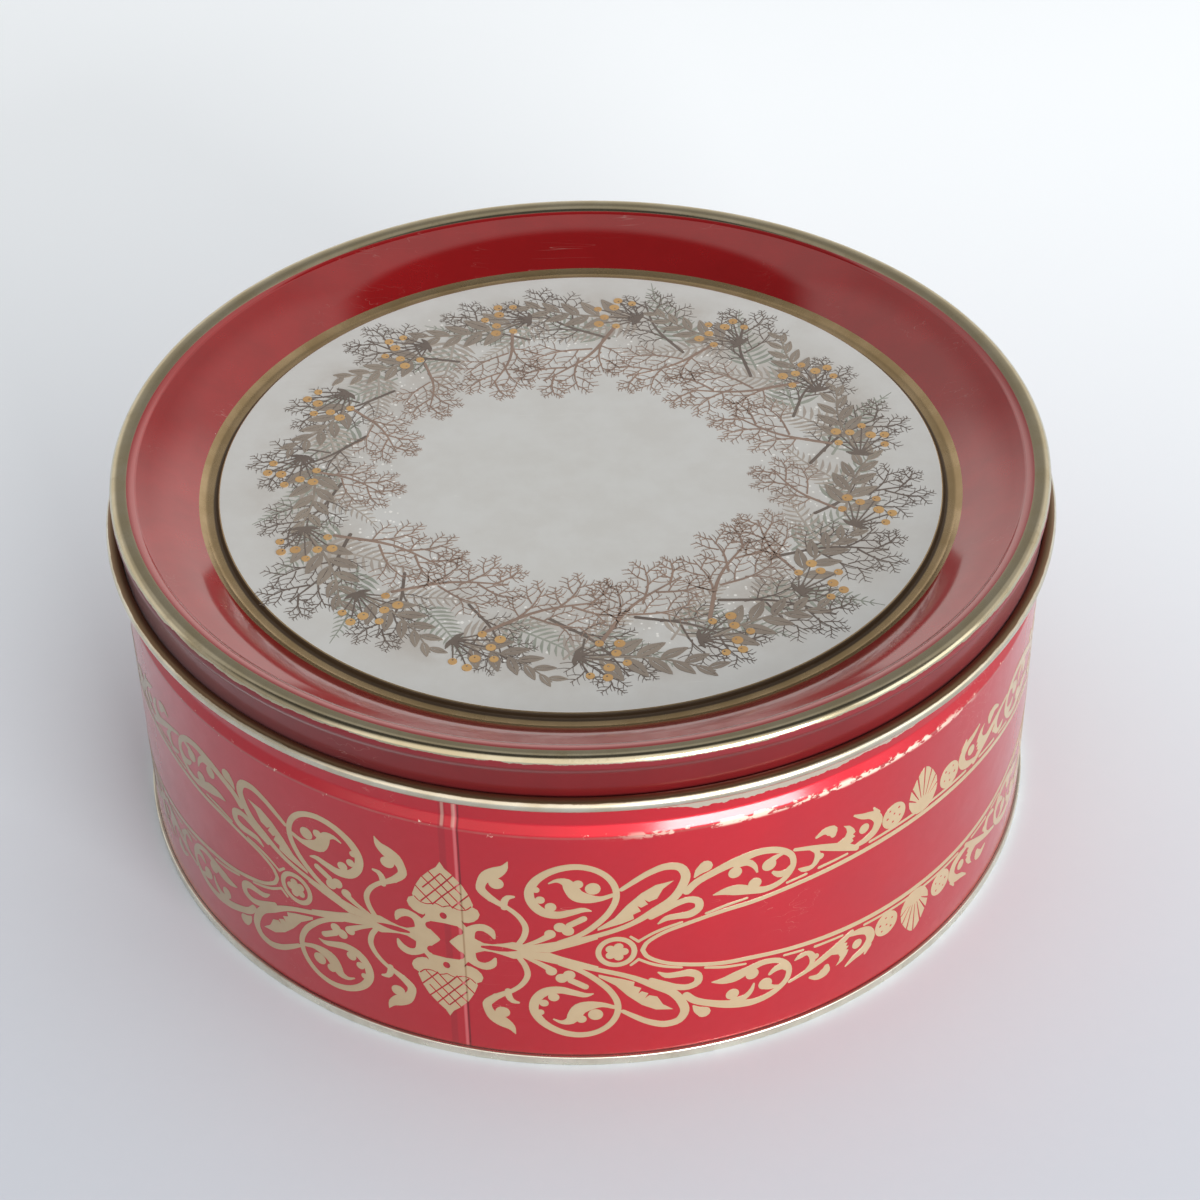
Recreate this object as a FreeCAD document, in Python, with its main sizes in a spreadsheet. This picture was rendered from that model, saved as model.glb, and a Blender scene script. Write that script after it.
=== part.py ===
"""Round lithographed tin: a drawn lid, a rolled body wall with a folded side seam, and a seamed base.

Every piece is thin sheet. Its profile is drawn once, along one face of the sheet, as straight runs with
rounded corners; the profile is then thickened by the sheet's gauge and turned about the tin's axis.
Millimetres, +Z up, origin at the middle of the circle that the tin stands on.
"""
import math
import os

import FreeCAD
import Part
import Sketcher

V = FreeCAD.Vector
AXIS = V(0, 0, 1)

# Driving dimensions, in millimetres, with angles in degrees
SIZES = {
    # Sheet and fits
    "sheet_gauge": 0.25,
    "lid_fit": 0.6,
    "lid_seat_gap": 0.3,
    "seam_gap": 0.05,
    # Body wall
    "wall_radius": 101.4,
    "body_height": 86.25,
    "neck_step": 1.1,
    "neck_below_lid": 6.0,
    "shoulder_rise": 2.2,
    "shoulder_edge_radius": 1.5,
    "shoulder_cove_radius": 1.5,
    "mouth_curl_radius": 0.9,
    # Folded side seam of the body wall
    "seam_azimuth": -104.7,
    "seam_width": 4.0,
    "seam_line_width": 0.3,
    "seam_line_depth": 0.12,
    "seam_end_margin": 1.0,
    # Seam that holds the base
    "base_seam_height": 2.4,
    "base_recess": 2.6,
    "hook_gap": 0.2,
    "hook_fold_radius": 0.07,
    "base_lip_radius": 0.35,
    "base_foot_radius": 0.45,
    "base_corner_radius": 1.0,
    # Lid rim, skirt and curl
    "lid_depth": 13.0,
    "rim_proud": 0.85,
    "rim_crown_width": 4.3,
    "rim_edge_radius": 1.9,
    "rim_inner_radius": 3.6,
    "rim_side_height": 3.0,
    "rim_tuck_height": 1.4,
    "rim_tuck_radius": 1.2,
    "rim_foot_run": 1.3,
    "rim_foot_drop": 1.2,
    "rim_foot_radius": 1.2,
    "lid_curl_radius": 1.5,
    # Lid band, groove and panel
    "panel_drop": 8.4,
    "panel_edge_radius": 0.8,
    "groove_depth": 1.3,
    "groove_wall_run": 0.4,
    "groove_floor_width": 2.2,
    "groove_inner_radius": 0.6,
    "groove_outer_radius": 1.6,
    "band_width": 14.4,
    "band_crown": 0.95,
}

# Where the band is highest above its chord, as a share of its width from the rim, and how it is rounded there
BAND_CROWN_SHARE = 0.42
BAND_ROUNDING_SHARE = 2.6
# How far a rolled edge closes: the end lies this share of the roll's radius past its centre
CURL_CLOSING_SHARE = 0.7
# How far a welded-on layer reaches into the sheet that it is folded from
LAYER_BITE_SHARE = 0.5


def size(name):
    """Expression that reads one driving dimension."""
    return "sizes." + name


# Radii and heights that several pieces share, as expressions of the driving dimensions
GAUGE = size("sheet_gauge")
WALL = size("wall_radius")
NECK = "(sizes.wall_radius - sizes.neck_step)"
SKIRT = "(" + NECK + " + sizes.lid_fit + sizes.sheet_gauge)"
RIM = "(" + SKIRT + " + sizes.rim_proud)"
RIM_TOP = "(sizes.body_height + sizes.lid_seat_gap + sizes.sheet_gauge)"
LID_BOTTOM = "(" + RIM_TOP + " - sizes.lid_depth)"
SHOULDER_TOP = "(" + LID_BOTTOM + " - sizes.neck_below_lid)"
SHOULDER_FOOT = "(" + SHOULDER_TOP + " - sizes.shoulder_rise)"
CROWN_INNER = "(" + RIM + " - sizes.rim_crown_width)"
RIM_FOOT = "(" + CROWN_INNER + " - sizes.rim_foot_run)"
GROOVE_OUTER = "(" + RIM_FOOT + " - sizes.band_width)"
GROOVE_INNER = "(" + GROOVE_OUTER + " - sizes.groove_floor_width)"
PANEL_EDGE = "(" + GROOVE_INNER + " - sizes.groove_wall_run)"
PANEL_TOP = "(" + RIM_TOP + " - sizes.panel_drop)"
GROOVE_FLOOR = "(" + PANEL_TOP + " - sizes.groove_depth)"
HOOK = "(sizes.wall_radius + sizes.hook_gap)"
BASE_RIM = "(" + HOOK + " + 2 * sizes.sheet_gauge + sizes.seam_gap)"
BASE_CHUCK = "(sizes.wall_radius - 2 * sizes.sheet_gauge - sizes.seam_gap)"


def make_sizes(doc):
    """Write the driving dimensions to a spreadsheet, one aliased cell each."""
    sheet = doc.addObject("Spreadsheet::Sheet", "sizes")
    for row, (name, value) in enumerate(SIZES.items(), start=1):
        sheet.set("A%d" % row, name)
        sheet.set("B%d" % row, str(value))
        sheet.setAlias("B%d" % row, name)
    doc.recompute()
    return sheet


def rounding(a, b, c, r):
    """Centre of the arc that rounds the corner b of a run from a to c, and where it leaves and rejoins the run."""
    back = (a - b).normalize()
    ahead = (c - b).normalize()
    half = back.getAngle(ahead) / 2
    setback = r / math.tan(half)
    centre = b + (back + ahead).normalize() * (r / math.sin(half))
    return centre, b + back * setback, b + ahead * setback


class Profile:
    """Outline of one face of a sheet, in radius and height: straight runs, rounded corners and rolled edges.

    Each corner is a construction point placed by two expressions. The runs pass through their corners, and
    each corner is rounded by an arc that is tangent to both runs.
    """

    def __init__(self, doc, name):
        self.sketch = doc.addObject("Sketcher::SketchObject", name)
        self.sketch.Placement = FreeCAD.Placement(V(0, 0, 0), FreeCAD.Rotation(V(1, 0, 0), 90))
        self.dimensions = 0

    def value(self, expression):
        """Number that an expression of the driving dimensions gives."""
        return float(self.sketch.evalExpression(expression))

    def rule(self, *args):
        """Add a geometric constraint."""
        self.sketch.addConstraint(Sketcher.Constraint(*args))

    def dimension(self, expression, kind, *where):
        """Add a dimension and bind it to an expression."""
        index = self.sketch.addConstraint(Sketcher.Constraint(kind, *where, self.value(expression)))
        self.dimensions += 1
        name = "d%d" % self.dimensions
        self.sketch.renameConstraint(index, name)
        self.sketch.setExpression("Constraints." + name, expression)

    def place(self, geometry, end, radius, height):
        """Place a point at a radius and a height; "0" puts it on the axis or on the ground."""
        for expression, kind, zero_line in ((radius, "DistanceX", -2), (height, "DistanceY", -1)):
            if expression == "0":
                self.rule("PointOnObject", geometry, end, zero_line)
            else:
                self.dimension(expression, kind, -1, 1, geometry, end)

    def runs(self, start, corners, end):
        """Draw runs from start through rounded corners to end, and return the first and the last run.

        start and end are (radius, height); a corner is (radius, height, rounding).
        """
        points = [V(self.value(p[0]), self.value(p[1]), 0) for p in [start] + corners + [end]]
        rounds = [rounding(*points[i:i + 3], self.value(corner[2])) for i, corner in enumerate(corners)]
        trims = [points[0]] + [p for each in rounds for p in each[1:]] + [points[-1]]
        lines = [self.sketch.addGeometry(Part.LineSegment(a, b)) for a, b in zip(trims[::2], trims[1::2])]
        self.place(lines[0], 1, *start)
        self.place(lines[-1], 2, *end)
        for i, (radius, height, roundness) in enumerate(corners):
            centre, first, last = rounds[i]
            turns_left = (first - centre).cross(last - centre).z > 0
            arc = self.arc(centre, first, last) if turns_left else self.arc(centre, last, first)
            corner = self.sketch.addGeometry(Part.Point(points[i + 1]), True)
            self.rule("Tangent", lines[i], 2, arc, 1 if turns_left else 2)
            self.rule("Tangent", lines[i + 1], 1, arc, 2 if turns_left else 1)
            self.rule("PointOnObject", corner, 1, lines[i])
            self.rule("PointOnObject", corner, 1, lines[i + 1])
            self.dimension(roundness, "Radius", arc)
            self.place(corner, 1, radius, height)
        return lines[0], lines[-1]

    def arc(self, centre, start, end):
        """Add a counter-clockwise arc about a centre."""
        angles = [math.atan2(p.y - centre.y, p.x - centre.x) for p in (start, end)]
        if angles[1] <= angles[0]:
            angles[1] += 2 * math.pi
        circle = Part.Circle(centre, AXIS, (start - centre).Length)
        return self.sketch.addGeometry(Part.ArcOfCircle(circle, *angles))

    def roll(self, line, line_end, edge, roll_radius, inward):
        """Roll the sheet into a curl, towards the axis or away from it, from the end of an upright run."""
        side = -1 if inward else 1
        r = self.value(roll_radius)
        meets = V(self.value(edge[0]), self.value(edge[1]), 0)
        centre = meets + V(side * r, 0, 0)
        past = CURL_CLOSING_SHARE * r
        tip = centre + V(-side * past, side * math.sqrt(r * r - past * past), 0)
        curl = self.arc(centre, meets, tip)
        self.rule("Tangent", line, line_end, curl, 1)
        self.dimension(roll_radius, "Radius", curl)
        ends = (curl, 3, curl, 2) if inward else (curl, 2, curl, 3)
        self.dimension("%s * %s" % (CURL_CLOSING_SHARE, roll_radius), "DistanceX", *ends)


def turned_sheet(doc, name, profile):
    """Thicken a profile by the sheet's gauge, away from the drawn face, and turn it about the tin's axis."""
    section = doc.addObject("Part::Offset2D", name + "_section")
    section.Source = profile.sketch
    section.Mode = "Skin"
    section.Fill = True
    section.setExpression("Value", "-" + GAUGE)
    turned = doc.addObject("Part::Revolution", name)
    turned.Source = section
    turned.Axis = AXIS
    turned.Angle = 360
    turned.Solid = True
    return turned


def build_lid(doc):
    """Drawn lid: sunk panel, lacquered groove, sloping band, rounded rim, skirt and outward curl."""
    profile = Profile(doc, "lid_profile")
    foot_height = "(" + RIM_TOP + " - sizes.rim_foot_drop)"
    chord_drop = "%s * (%s - %s)" % (BAND_CROWN_SHARE, foot_height, GROOVE_FLOOR)
    knee_radius = "%s - %s * sizes.band_width" % (RIM_FOOT, BAND_CROWN_SHARE)
    tuck_top = RIM_TOP + " - sizes.rim_side_height"
    corners = [
        (PANEL_EDGE, PANEL_TOP, size("panel_edge_radius")),
        (GROOVE_INNER, GROOVE_FLOOR, size("groove_inner_radius")),
        (GROOVE_OUTER, GROOVE_FLOOR, size("groove_outer_radius")),
        (knee_radius, foot_height + " - " + chord_drop + " + sizes.band_crown",
         "%s * sizes.band_width" % BAND_ROUNDING_SHARE),
        (RIM_FOOT, foot_height, size("rim_foot_radius")),
        (CROWN_INNER, RIM_TOP, size("rim_inner_radius")),
        (RIM, RIM_TOP, size("rim_edge_radius")),
        (RIM, tuck_top, size("rim_tuck_radius")),
        (SKIRT, tuck_top + " - sizes.rim_tuck_height", size("rim_tuck_radius")),
    ]
    skirt_end = (SKIRT, LID_BOTTOM + " + sizes.lid_curl_radius")
    skirt = profile.runs(("0", PANEL_TOP), corners, skirt_end)[1]
    profile.roll(skirt, 2, skirt_end, "(sizes.lid_curl_radius - sizes.sheet_gauge)", inward=False)
    return turned_sheet(doc, "lid", profile)


def build_body_wall(doc):
    """Rolled wall: curled mouth, neck that the lid slides over, shoulder, straight wall and hook at the base."""
    profile = Profile(doc, "wall_profile")
    hook_bottom = "(2 * sizes.sheet_gauge + sizes.seam_gap)"
    hook_top = "sizes.base_seam_height - sizes.sheet_gauge - sizes.seam_gap"
    corners = [
        (NECK, SHOULDER_TOP, size("shoulder_cove_radius")),
        (WALL, SHOULDER_FOOT, size("shoulder_edge_radius")),
        (WALL, hook_bottom, size("hook_fold_radius")),
        (HOOK, hook_bottom, size("hook_fold_radius")),
    ]
    mouth = (NECK, "sizes.body_height - sizes.mouth_curl_radius")
    neck = profile.runs(mouth, corners, (HOOK, hook_top))[0]
    profile.roll(neck, 1, mouth, size("mouth_curl_radius"), inward=True)
    rolled = turned_sheet(doc, "rolled_wall", profile)
    return add_side_seam(doc, rolled)


def seam_layer(doc, name, outer, inner, width):
    """Upright strip of a ring between two radii, along the side seam and as wide as given on the wall."""
    bottom = "sizes.base_recess + sizes.sheet_gauge + sizes.seam_end_margin"
    top = SHOULDER_FOOT + " - sizes.seam_end_margin"
    ring = []
    for part_name, radius in ((name + "_outer", outer), (name + "_inner", inner)):
        drum = doc.addObject("Part::Cylinder", part_name)
        drum.setExpression("Radius", radius)
        drum.setExpression("Height", top + " - (" + bottom + ")")
        drum.setExpression("Placement.Base.z", bottom)
        ring.append(drum)
    ring[0].setExpression("Angle", width + " / sizes.wall_radius * 180 / pi")
    ring[0].setExpression("Placement.Rotation.Angle", "sizes.seam_azimuth - " + ring[0].Name + ".Angle / 1 deg")
    strip = doc.addObject("Part::Cut", name)
    strip.Base, strip.Tool = ring
    return strip


def add_side_seam(doc, rolled):
    """Close the wall with its lock seam: two more layers folded flat inside, and a sunk line outside."""
    inside = "(sizes.wall_radius - sizes.sheet_gauge)"
    bite = " + %s * sizes.sheet_gauge" % LAYER_BITE_SHARE
    fold = seam_layer(doc, "seam_fold", inside + bite, inside + " - 2 * sizes.sheet_gauge", size("seam_width"))
    line = seam_layer(doc, "seam_line", WALL + " + sizes.seam_line_depth", WALL + " - sizes.seam_line_depth",
                      size("seam_line_width"))
    folded = doc.addObject("Part::Fuse", "folded_wall")
    folded.Base = rolled
    folded.Tool = fold
    wall = doc.addObject("Part::Cut", "body_wall")
    wall.Base = folded
    wall.Tool = line
    return wall


def build_base_end(doc):
    """Base: sunk disc whose edge runs down inside the wall, round the wall's hook and back over it."""
    profile = Profile(doc, "base_profile")
    corners = [
        (BASE_RIM, size("base_seam_height"), size("base_lip_radius")),
        (BASE_RIM, "0", size("base_foot_radius")),
        (BASE_CHUCK, "0", size("base_foot_radius")),
        (BASE_CHUCK, size("base_recess"), size("base_corner_radius")),
    ]
    profile.runs(("sizes.wall_radius + sizes.seam_gap", size("base_seam_height")), corners, ("0", size("base_recess")))
    return turned_sheet(doc, "base_end", profile)


def check(doc, pieces):
    """Stop if any object failed or any piece is not one valid solid."""
    for obj in doc.Objects:
        if "Invalid" in obj.State or "Error" in obj.State:
            raise RuntimeError("%s did not compute: %s" % (obj.Name, obj.State))
    for piece in pieces:
        shape = piece.Shape
        if shape.isNull() or not shape.isValid() or len(shape.Solids) != 1:
            raise RuntimeError("%s is not one valid solid" % piece.Label)


def main():
    """Build the three pieces and write one file for each."""
    doc = FreeCAD.newDocument("round_tin")
    make_sizes(doc)
    pieces = [build_lid(doc), build_body_wall(doc), build_base_end(doc)]
    doc.recompute()
    check(doc, pieces)
    os.makedirs("parts", exist_ok=True)
    for piece in pieces:
        piece.Shape.exportStep("parts/%s.step" % piece.Label)
        box = piece.Shape.optimalBoundingBox(False)
        print("%-10s volume %9.1f  radius %.2f  height %.2f to %.2f"
              % (piece.Label, piece.Shape.Volume, box.XMax, box.ZMin, box.ZMax))


main()
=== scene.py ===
"""Looks of a round printed tin: sheet shells, printed ornament, lacquers, bare metal, light and camera.

Sizes are in millimetres, as radius and height on the tin, and meshes are written in metres.
"""
from __future__ import annotations

import logging
import math
from collections.abc import Callable, Iterable, Sequence
from dataclasses import dataclass
from enum import Enum

import bpy
import numpy as np
from mathutils import Matrix, Vector
from mathutils.geometry import delaunay_2d_cdt


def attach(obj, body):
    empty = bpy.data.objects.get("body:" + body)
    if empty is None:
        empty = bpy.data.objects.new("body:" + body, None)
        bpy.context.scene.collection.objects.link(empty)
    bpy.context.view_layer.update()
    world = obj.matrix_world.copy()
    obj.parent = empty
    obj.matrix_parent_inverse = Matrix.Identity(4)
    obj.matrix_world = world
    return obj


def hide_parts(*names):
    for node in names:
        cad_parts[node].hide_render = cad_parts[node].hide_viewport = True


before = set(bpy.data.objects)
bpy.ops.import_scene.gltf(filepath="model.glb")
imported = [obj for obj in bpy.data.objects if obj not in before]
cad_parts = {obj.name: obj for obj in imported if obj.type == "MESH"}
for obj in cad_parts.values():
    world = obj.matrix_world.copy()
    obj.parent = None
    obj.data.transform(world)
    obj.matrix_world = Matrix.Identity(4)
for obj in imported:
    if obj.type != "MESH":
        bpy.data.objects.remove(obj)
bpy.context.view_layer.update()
MM = 0.001
GAUGE = 0.25
WELD = 1e-6
SHARP = math.radians(35)
LOG = logging.getLogger("round_tin")

Point = tuple[float, float]
Place = tuple[float, float, float]
Colour = tuple[float, float, float, float]
Inputs = dict[int | str, object]
Look = dict[str, object]
Socket = bpy.types.NodeSocket
Tree = bpy.types.NodeTree
ZoneRule = Callable[[float, float], int]


def paint(red: int, green: int, blue: int) -> Colour:
    """Linear colour of a paint that is named as it shows on a screen.

    Args:
        red: Red, 0 to 255.
        green: Green, 0 to 255.
        blue: Blue, 0 to 255.

    Returns:
        The colour as four linear numbers.
    """
    shares = [channel / 255 for channel in (red, green, blue)]
    return tuple(s / 12.92 if s <= 0.04045 else ((s + 0.055) / 1.055) ** 2.4 for s in shares) + (1.0,)


class Graph:
    """Short way to fill a node tree."""

    def __init__(self, tree: Tree) -> None:
        """Keep the tree."""
        self.tree = tree

    def node(self, kind: str, inputs: Inputs | None = None, **options: object) -> bpy.types.Node:
        """Add a node.

        Args:
            kind: Blender's name of the node's type.
            inputs: Value, or another node's output, for each input by name or number.
            options: The node's own settings.

        Returns:
            The new node.
        """
        node = self.tree.nodes.new(kind)
        for name, value in options.items():
            setattr(node, name, value)
        for key, value in (inputs or {}).items():
            if isinstance(value, Socket):
                self.tree.links.new(value, node.inputs[key])
            else:
                node.inputs[key].default_value = value
        return node

    def out(self, kind: str, inputs: Inputs | None = None, output: int | str = 0,
            **options: object) -> Socket:
        """Add a node and return one of its outputs.

        Args:
            kind: Blender's name of the node's type.
            inputs: As for node.
            output: Name or number of the output.
            options: As for node.

        Returns:
            The output socket.
        """
        return self.node(kind, inputs, **options).outputs[output]

    def parts(self, vector: object) -> bpy.types.NodeOutputs:
        """Return a vector's three numbers."""
        return self.node("ShaderNodeSeparateXYZ", {0: vector}).outputs

    def math(self, operation: str, *values: object) -> Socket:
        """Return the result of one step of arithmetic on up to three values."""
        return self.out("ShaderNodeMath", dict(enumerate(values)), operation=operation)

    def times(self, first: object, second: object, *others: object) -> Socket:
        """Return the product of two or more values."""
        product = self.math("MULTIPLY", first, second)
        return self.times(product, *others) if others else product

    def plus(self, first: object, second: object) -> Socket:
        """Return a sum."""
        return self.math("ADD", first, second)

    def minus(self, first: object, second: object) -> Socket:
        """Return a difference."""
        return self.math("SUBTRACT", first, second)

    def step(self, value: object, low: object, high: object) -> Socket:
        """Return a smooth step, 0 where the value is low and 1 where it is high."""
        return self.out("ShaderNodeMapRange", {0: value, 1: low, 2: high}, interpolation_type="SMOOTHSTEP")

    def fall(self, value: object, low: object, high: object) -> Socket:
        """Return a smooth step down, 1 where the value is low and 0 where it is high."""
        return self.minus(1.0, self.step(value, low, high))

    def scale(self, value: object, low: object, high: object) -> Socket:
        """Return a 0 to 1 value stretched to run from low to high."""
        return self.out("ShaderNodeMapRange", {0: value, 3: low, 4: high})

    def noise(self, vector: object, scale: object, detail: float = 2.0, rough: float = 0.5) -> Socket:
        """Return noise from 0 to 1 that varies along a vector."""
        inputs = {"Vector": vector, "Scale": scale, "Detail": detail, "Roughness": rough}
        return self.out("ShaderNodeTexNoise", inputs)

    def mix(self, share: object, first: object, second: object) -> Socket:
        """Return a colour mixed from two."""
        return self.out("ShaderNodeMix", {0: share, 6: first, 7: second}, output=2, data_type="RGBA")

    def blend(self, share: object, first: object, second: object) -> Socket:
        """Return a number mixed from two."""
        return self.out("ShaderNodeMix", {0: share, 2: first, 3: second}, data_type="FLOAT")

    def stretch(self, vector: object, factors: Place) -> Socket:
        """Return a vector multiplied along each axis."""
        return self.out("ShaderNodeVectorMath", {0: vector, 1: factors}, operation="MULTIPLY")

    def reach(self, place: object, centre: Place = (0.0, 0.0, 0.0)) -> Socket:
        """Return the distance of a place from an upright axis.

        Args:
            place: The place.
            centre: A place on the axis.

        Returns:
            The distance.
        """
        shifted = self.out("ShaderNodeVectorMath", {0: place, 1: centre}, operation="SUBTRACT")
        flat = self.stretch(shifted, (1.0, 1.0, 0.0))
        return self.out("ShaderNodeVectorMath", {0: flat}, output="Value", operation="LENGTH")

    def towards(self, place: object, azimuth: float) -> Socket:
        """Return how far a place lies in one direction from the tin's axis.

        Args:
            place: The place.
            azimuth: The direction, in degrees.

        Returns:
            The distance.
        """
        spot = self.parts(place)
        turn = math.radians(azimuth)
        return self.plus(self.times(spot[0], math.cos(turn)), self.times(spot[1], math.sin(turn)))

    def polar(self, radius: object, angle: object, height: object = 0.0) -> Socket:
        """Return a place on the tin.

        Args:
            radius: Its distance from the tin's axis.
            angle: Its angle about the axis, in radians.
            height: Its height.

        Returns:
            The place as a vector.
        """
        across = self.times(radius, self.math("COSINE", angle))
        back = self.times(radius, self.math("SINE", angle))
        return self.out("ShaderNodeCombineXYZ", {0: across, 1: back, 2: height})

    def whole(self, operation: str, first: object, second: object) -> Socket:
        """Return the result of one step of arithmetic on whole numbers."""
        return self.out("FunctionNodeIntegerMath", {0: first, 1: second}, operation=operation)

    def sample(self, source: Socket, value: Socket, index: Socket, kind: str) -> Socket:
        """Return a value that a geometry has at one of its points.

        Args:
            source: The geometry.
            value: What is read there.
            index: The point's number.
            kind: Blender's name of the value's type.

        Returns:
            The value.
        """
        inputs = {"Geometry": source, "Value": value, "Index": index}
        return self.out("GeometryNodeSampleIndex", inputs, "Value", data_type=kind, domain="POINT")


def open_tree(tree: Tree, inputs: dict[str, str], output: str) -> tuple[Graph, bpy.types.NodeOutputs]:
    """Give an empty tree its named inputs and one output.

    Args:
        tree: The tree.
        inputs: Kind of each input, by name.
        output: Kind of the output.

    Returns:
        The tree's graph and its inputs.
    """
    for name, kind in inputs.items():
        tree.interface.new_socket(name, in_out="INPUT", socket_type="NodeSocket" + kind)
    tree.interface.new_socket("Result", in_out="OUTPUT", socket_type="NodeSocket" + output)
    return Graph(tree), tree.nodes.new("NodeGroupInput").outputs


class Effect(Enum):
    """Effects that several finishes share: each is a node group's name and its number inputs."""

    MOTTLE = ("mottle", ("Scale", "Low", "High"))
    HAIRLINES = ("hairlines", ("Scale", "Width", "Amount"))
    SPECKS = ("specks", ("Scale", "Size", "Amount"))
    RAGGED_EDGE = ("ragged_edge", ("Edge", "Raggedness", "Scale"))
    SEAM_MARKS = ("seam_marks", ("From", "To", "Softness"))

    def group(self) -> Tree:
        """Return the effect's node group, which is built at its first use.

        Returns:
            The group, which gives one value over the surface.
        """
        name, numbers = self.value
        tree = bpy.data.node_groups.get(name)
        if tree is None:
            tree = bpy.data.node_groups.new(name, "ShaderNodeTree")
            graph, given = open_tree(tree, {"Vector": "Vector"} | dict.fromkeys(numbers, "Float"), "Float")
            graph.node("NodeGroupOutput", {0: EFFECT_VALUES[self](graph, given)})
        return tree

    def place(self, graph: Graph, **inputs: object) -> Socket:
        """Place the effect in a material.

        Args:
            graph: The material's graph.
            inputs: Values of the group's inputs.

        Returns:
            The value that the effect gives.
        """
        return graph.out("ShaderNodeGroup", inputs, node_tree=self.group())


def mottle(graph: Graph, given: bpy.types.NodeOutputs) -> Socket:
    """Make soft clouds between two levels.

    Args:
        graph: The effect's graph.
        given: Its inputs.

    Returns:
        The level.
    """
    cloud = graph.step(graph.noise(given["Vector"], given["Scale"], detail=4.0, rough=0.6), 0.3, 0.7)
    return graph.scale(cloud, given["Low"], given["High"])


def hairlines(graph: Graph, given: bpy.types.NodeOutputs) -> Socket:
    """Make fine broken scratches along the vector's first axis.

    Args:
        graph: The effect's graph.
        given: Its inputs.

    Returns:
        How strong the scratch is, 0 between scratches.
    """
    drawn = graph.stretch(given["Vector"], (0.05, 1.0, 1.0))
    ridge = graph.math("ABSOLUTE", graph.minus(graph.noise(drawn, given["Scale"]), 0.5))
    place = graph.noise(given["Vector"], graph.times(given["Scale"], 0.13), detail=3.0)
    return graph.times(graph.fall(ridge, 0.0, given["Width"]), graph.step(place, 0.55, 0.7), given["Amount"])


def specks(graph: Graph, given: bpy.types.NodeOutputs) -> Socket:
    """Make scattered small chips of uneven size.

    Args:
        graph: The effect's graph.
        given: Its inputs.

    Returns:
        1 on a chip and 0 between chips.
    """
    where = {"Vector": given["Vector"], "Scale": given["Scale"]}
    swirl = graph.out("ShaderNodeTexNoise", where, output="Color")
    shift = graph.out("ShaderNodeVectorMath", {0: swirl, 3: 0.6 * MM}, operation="SCALE")
    bent = graph.out("ShaderNodeVectorMath", {0: given["Vector"], 1: shift}, operation="ADD")
    cell = graph.node("ShaderNodeTexVoronoi", where | {"Vector": bent}).outputs
    pick = graph.out("ShaderNodeSeparateColor", {0: cell["Color"]})
    limit = graph.times(given["Size"], graph.minus(pick, graph.minus(1.0, given["Amount"])))
    return graph.math("LESS_THAN", cell["Distance"], limit)


def ragged_edge(graph: Graph, given: bpy.types.NodeOutputs) -> Socket:
    """Part a surface at a height, with a worn uneven border.

    Args:
        graph: The effect's graph.
        given: Its inputs.

    Returns:
        1 above the height and 0 below it.
    """
    sway = graph.minus(graph.noise(given["Vector"], given["Scale"], detail=5.0, rough=0.7), 0.5)
    worn = graph.plus(graph.parts(given["Vector"])[2], graph.times(sway, given["Raggedness"]))
    soft = 0.06 * MM
    return graph.step(worn, graph.minus(given["Edge"], soft), graph.plus(given["Edge"], soft))


def seam_marks(graph: Graph, given: bpy.types.NodeOutputs) -> Socket:
    """Part off a strip of the wall beside the side seam, from one arc length to another.

    Args:
        graph: The effect's graph.
        given: Its inputs.

    Returns:
        1 within the strip and 0 outside it.
    """
    side = graph.towards(given["Vector"], Wall.seam_azimuth + 90.0)
    front = graph.math("LESS_THAN", graph.parts(given["Vector"])[1], 0.0)
    soft = given["Softness"]
    rise = graph.step(side, graph.minus(given["From"], soft), graph.plus(given["From"], soft))
    fall = graph.fall(side, graph.minus(given["To"], soft), graph.plus(given["To"], soft))
    return graph.times(rise, fall, front)


EFFECT_VALUES: dict[Effect, Callable[[Graph, bpy.types.NodeOutputs], Socket]] = {
    Effect.MOTTLE: mottle,
    Effect.HAIRLINES: hairlines,
    Effect.SPECKS: specks,
    Effect.RAGGED_EDGE: ragged_edge,
    Effect.SEAM_MARKS: seam_marks,
}


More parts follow.
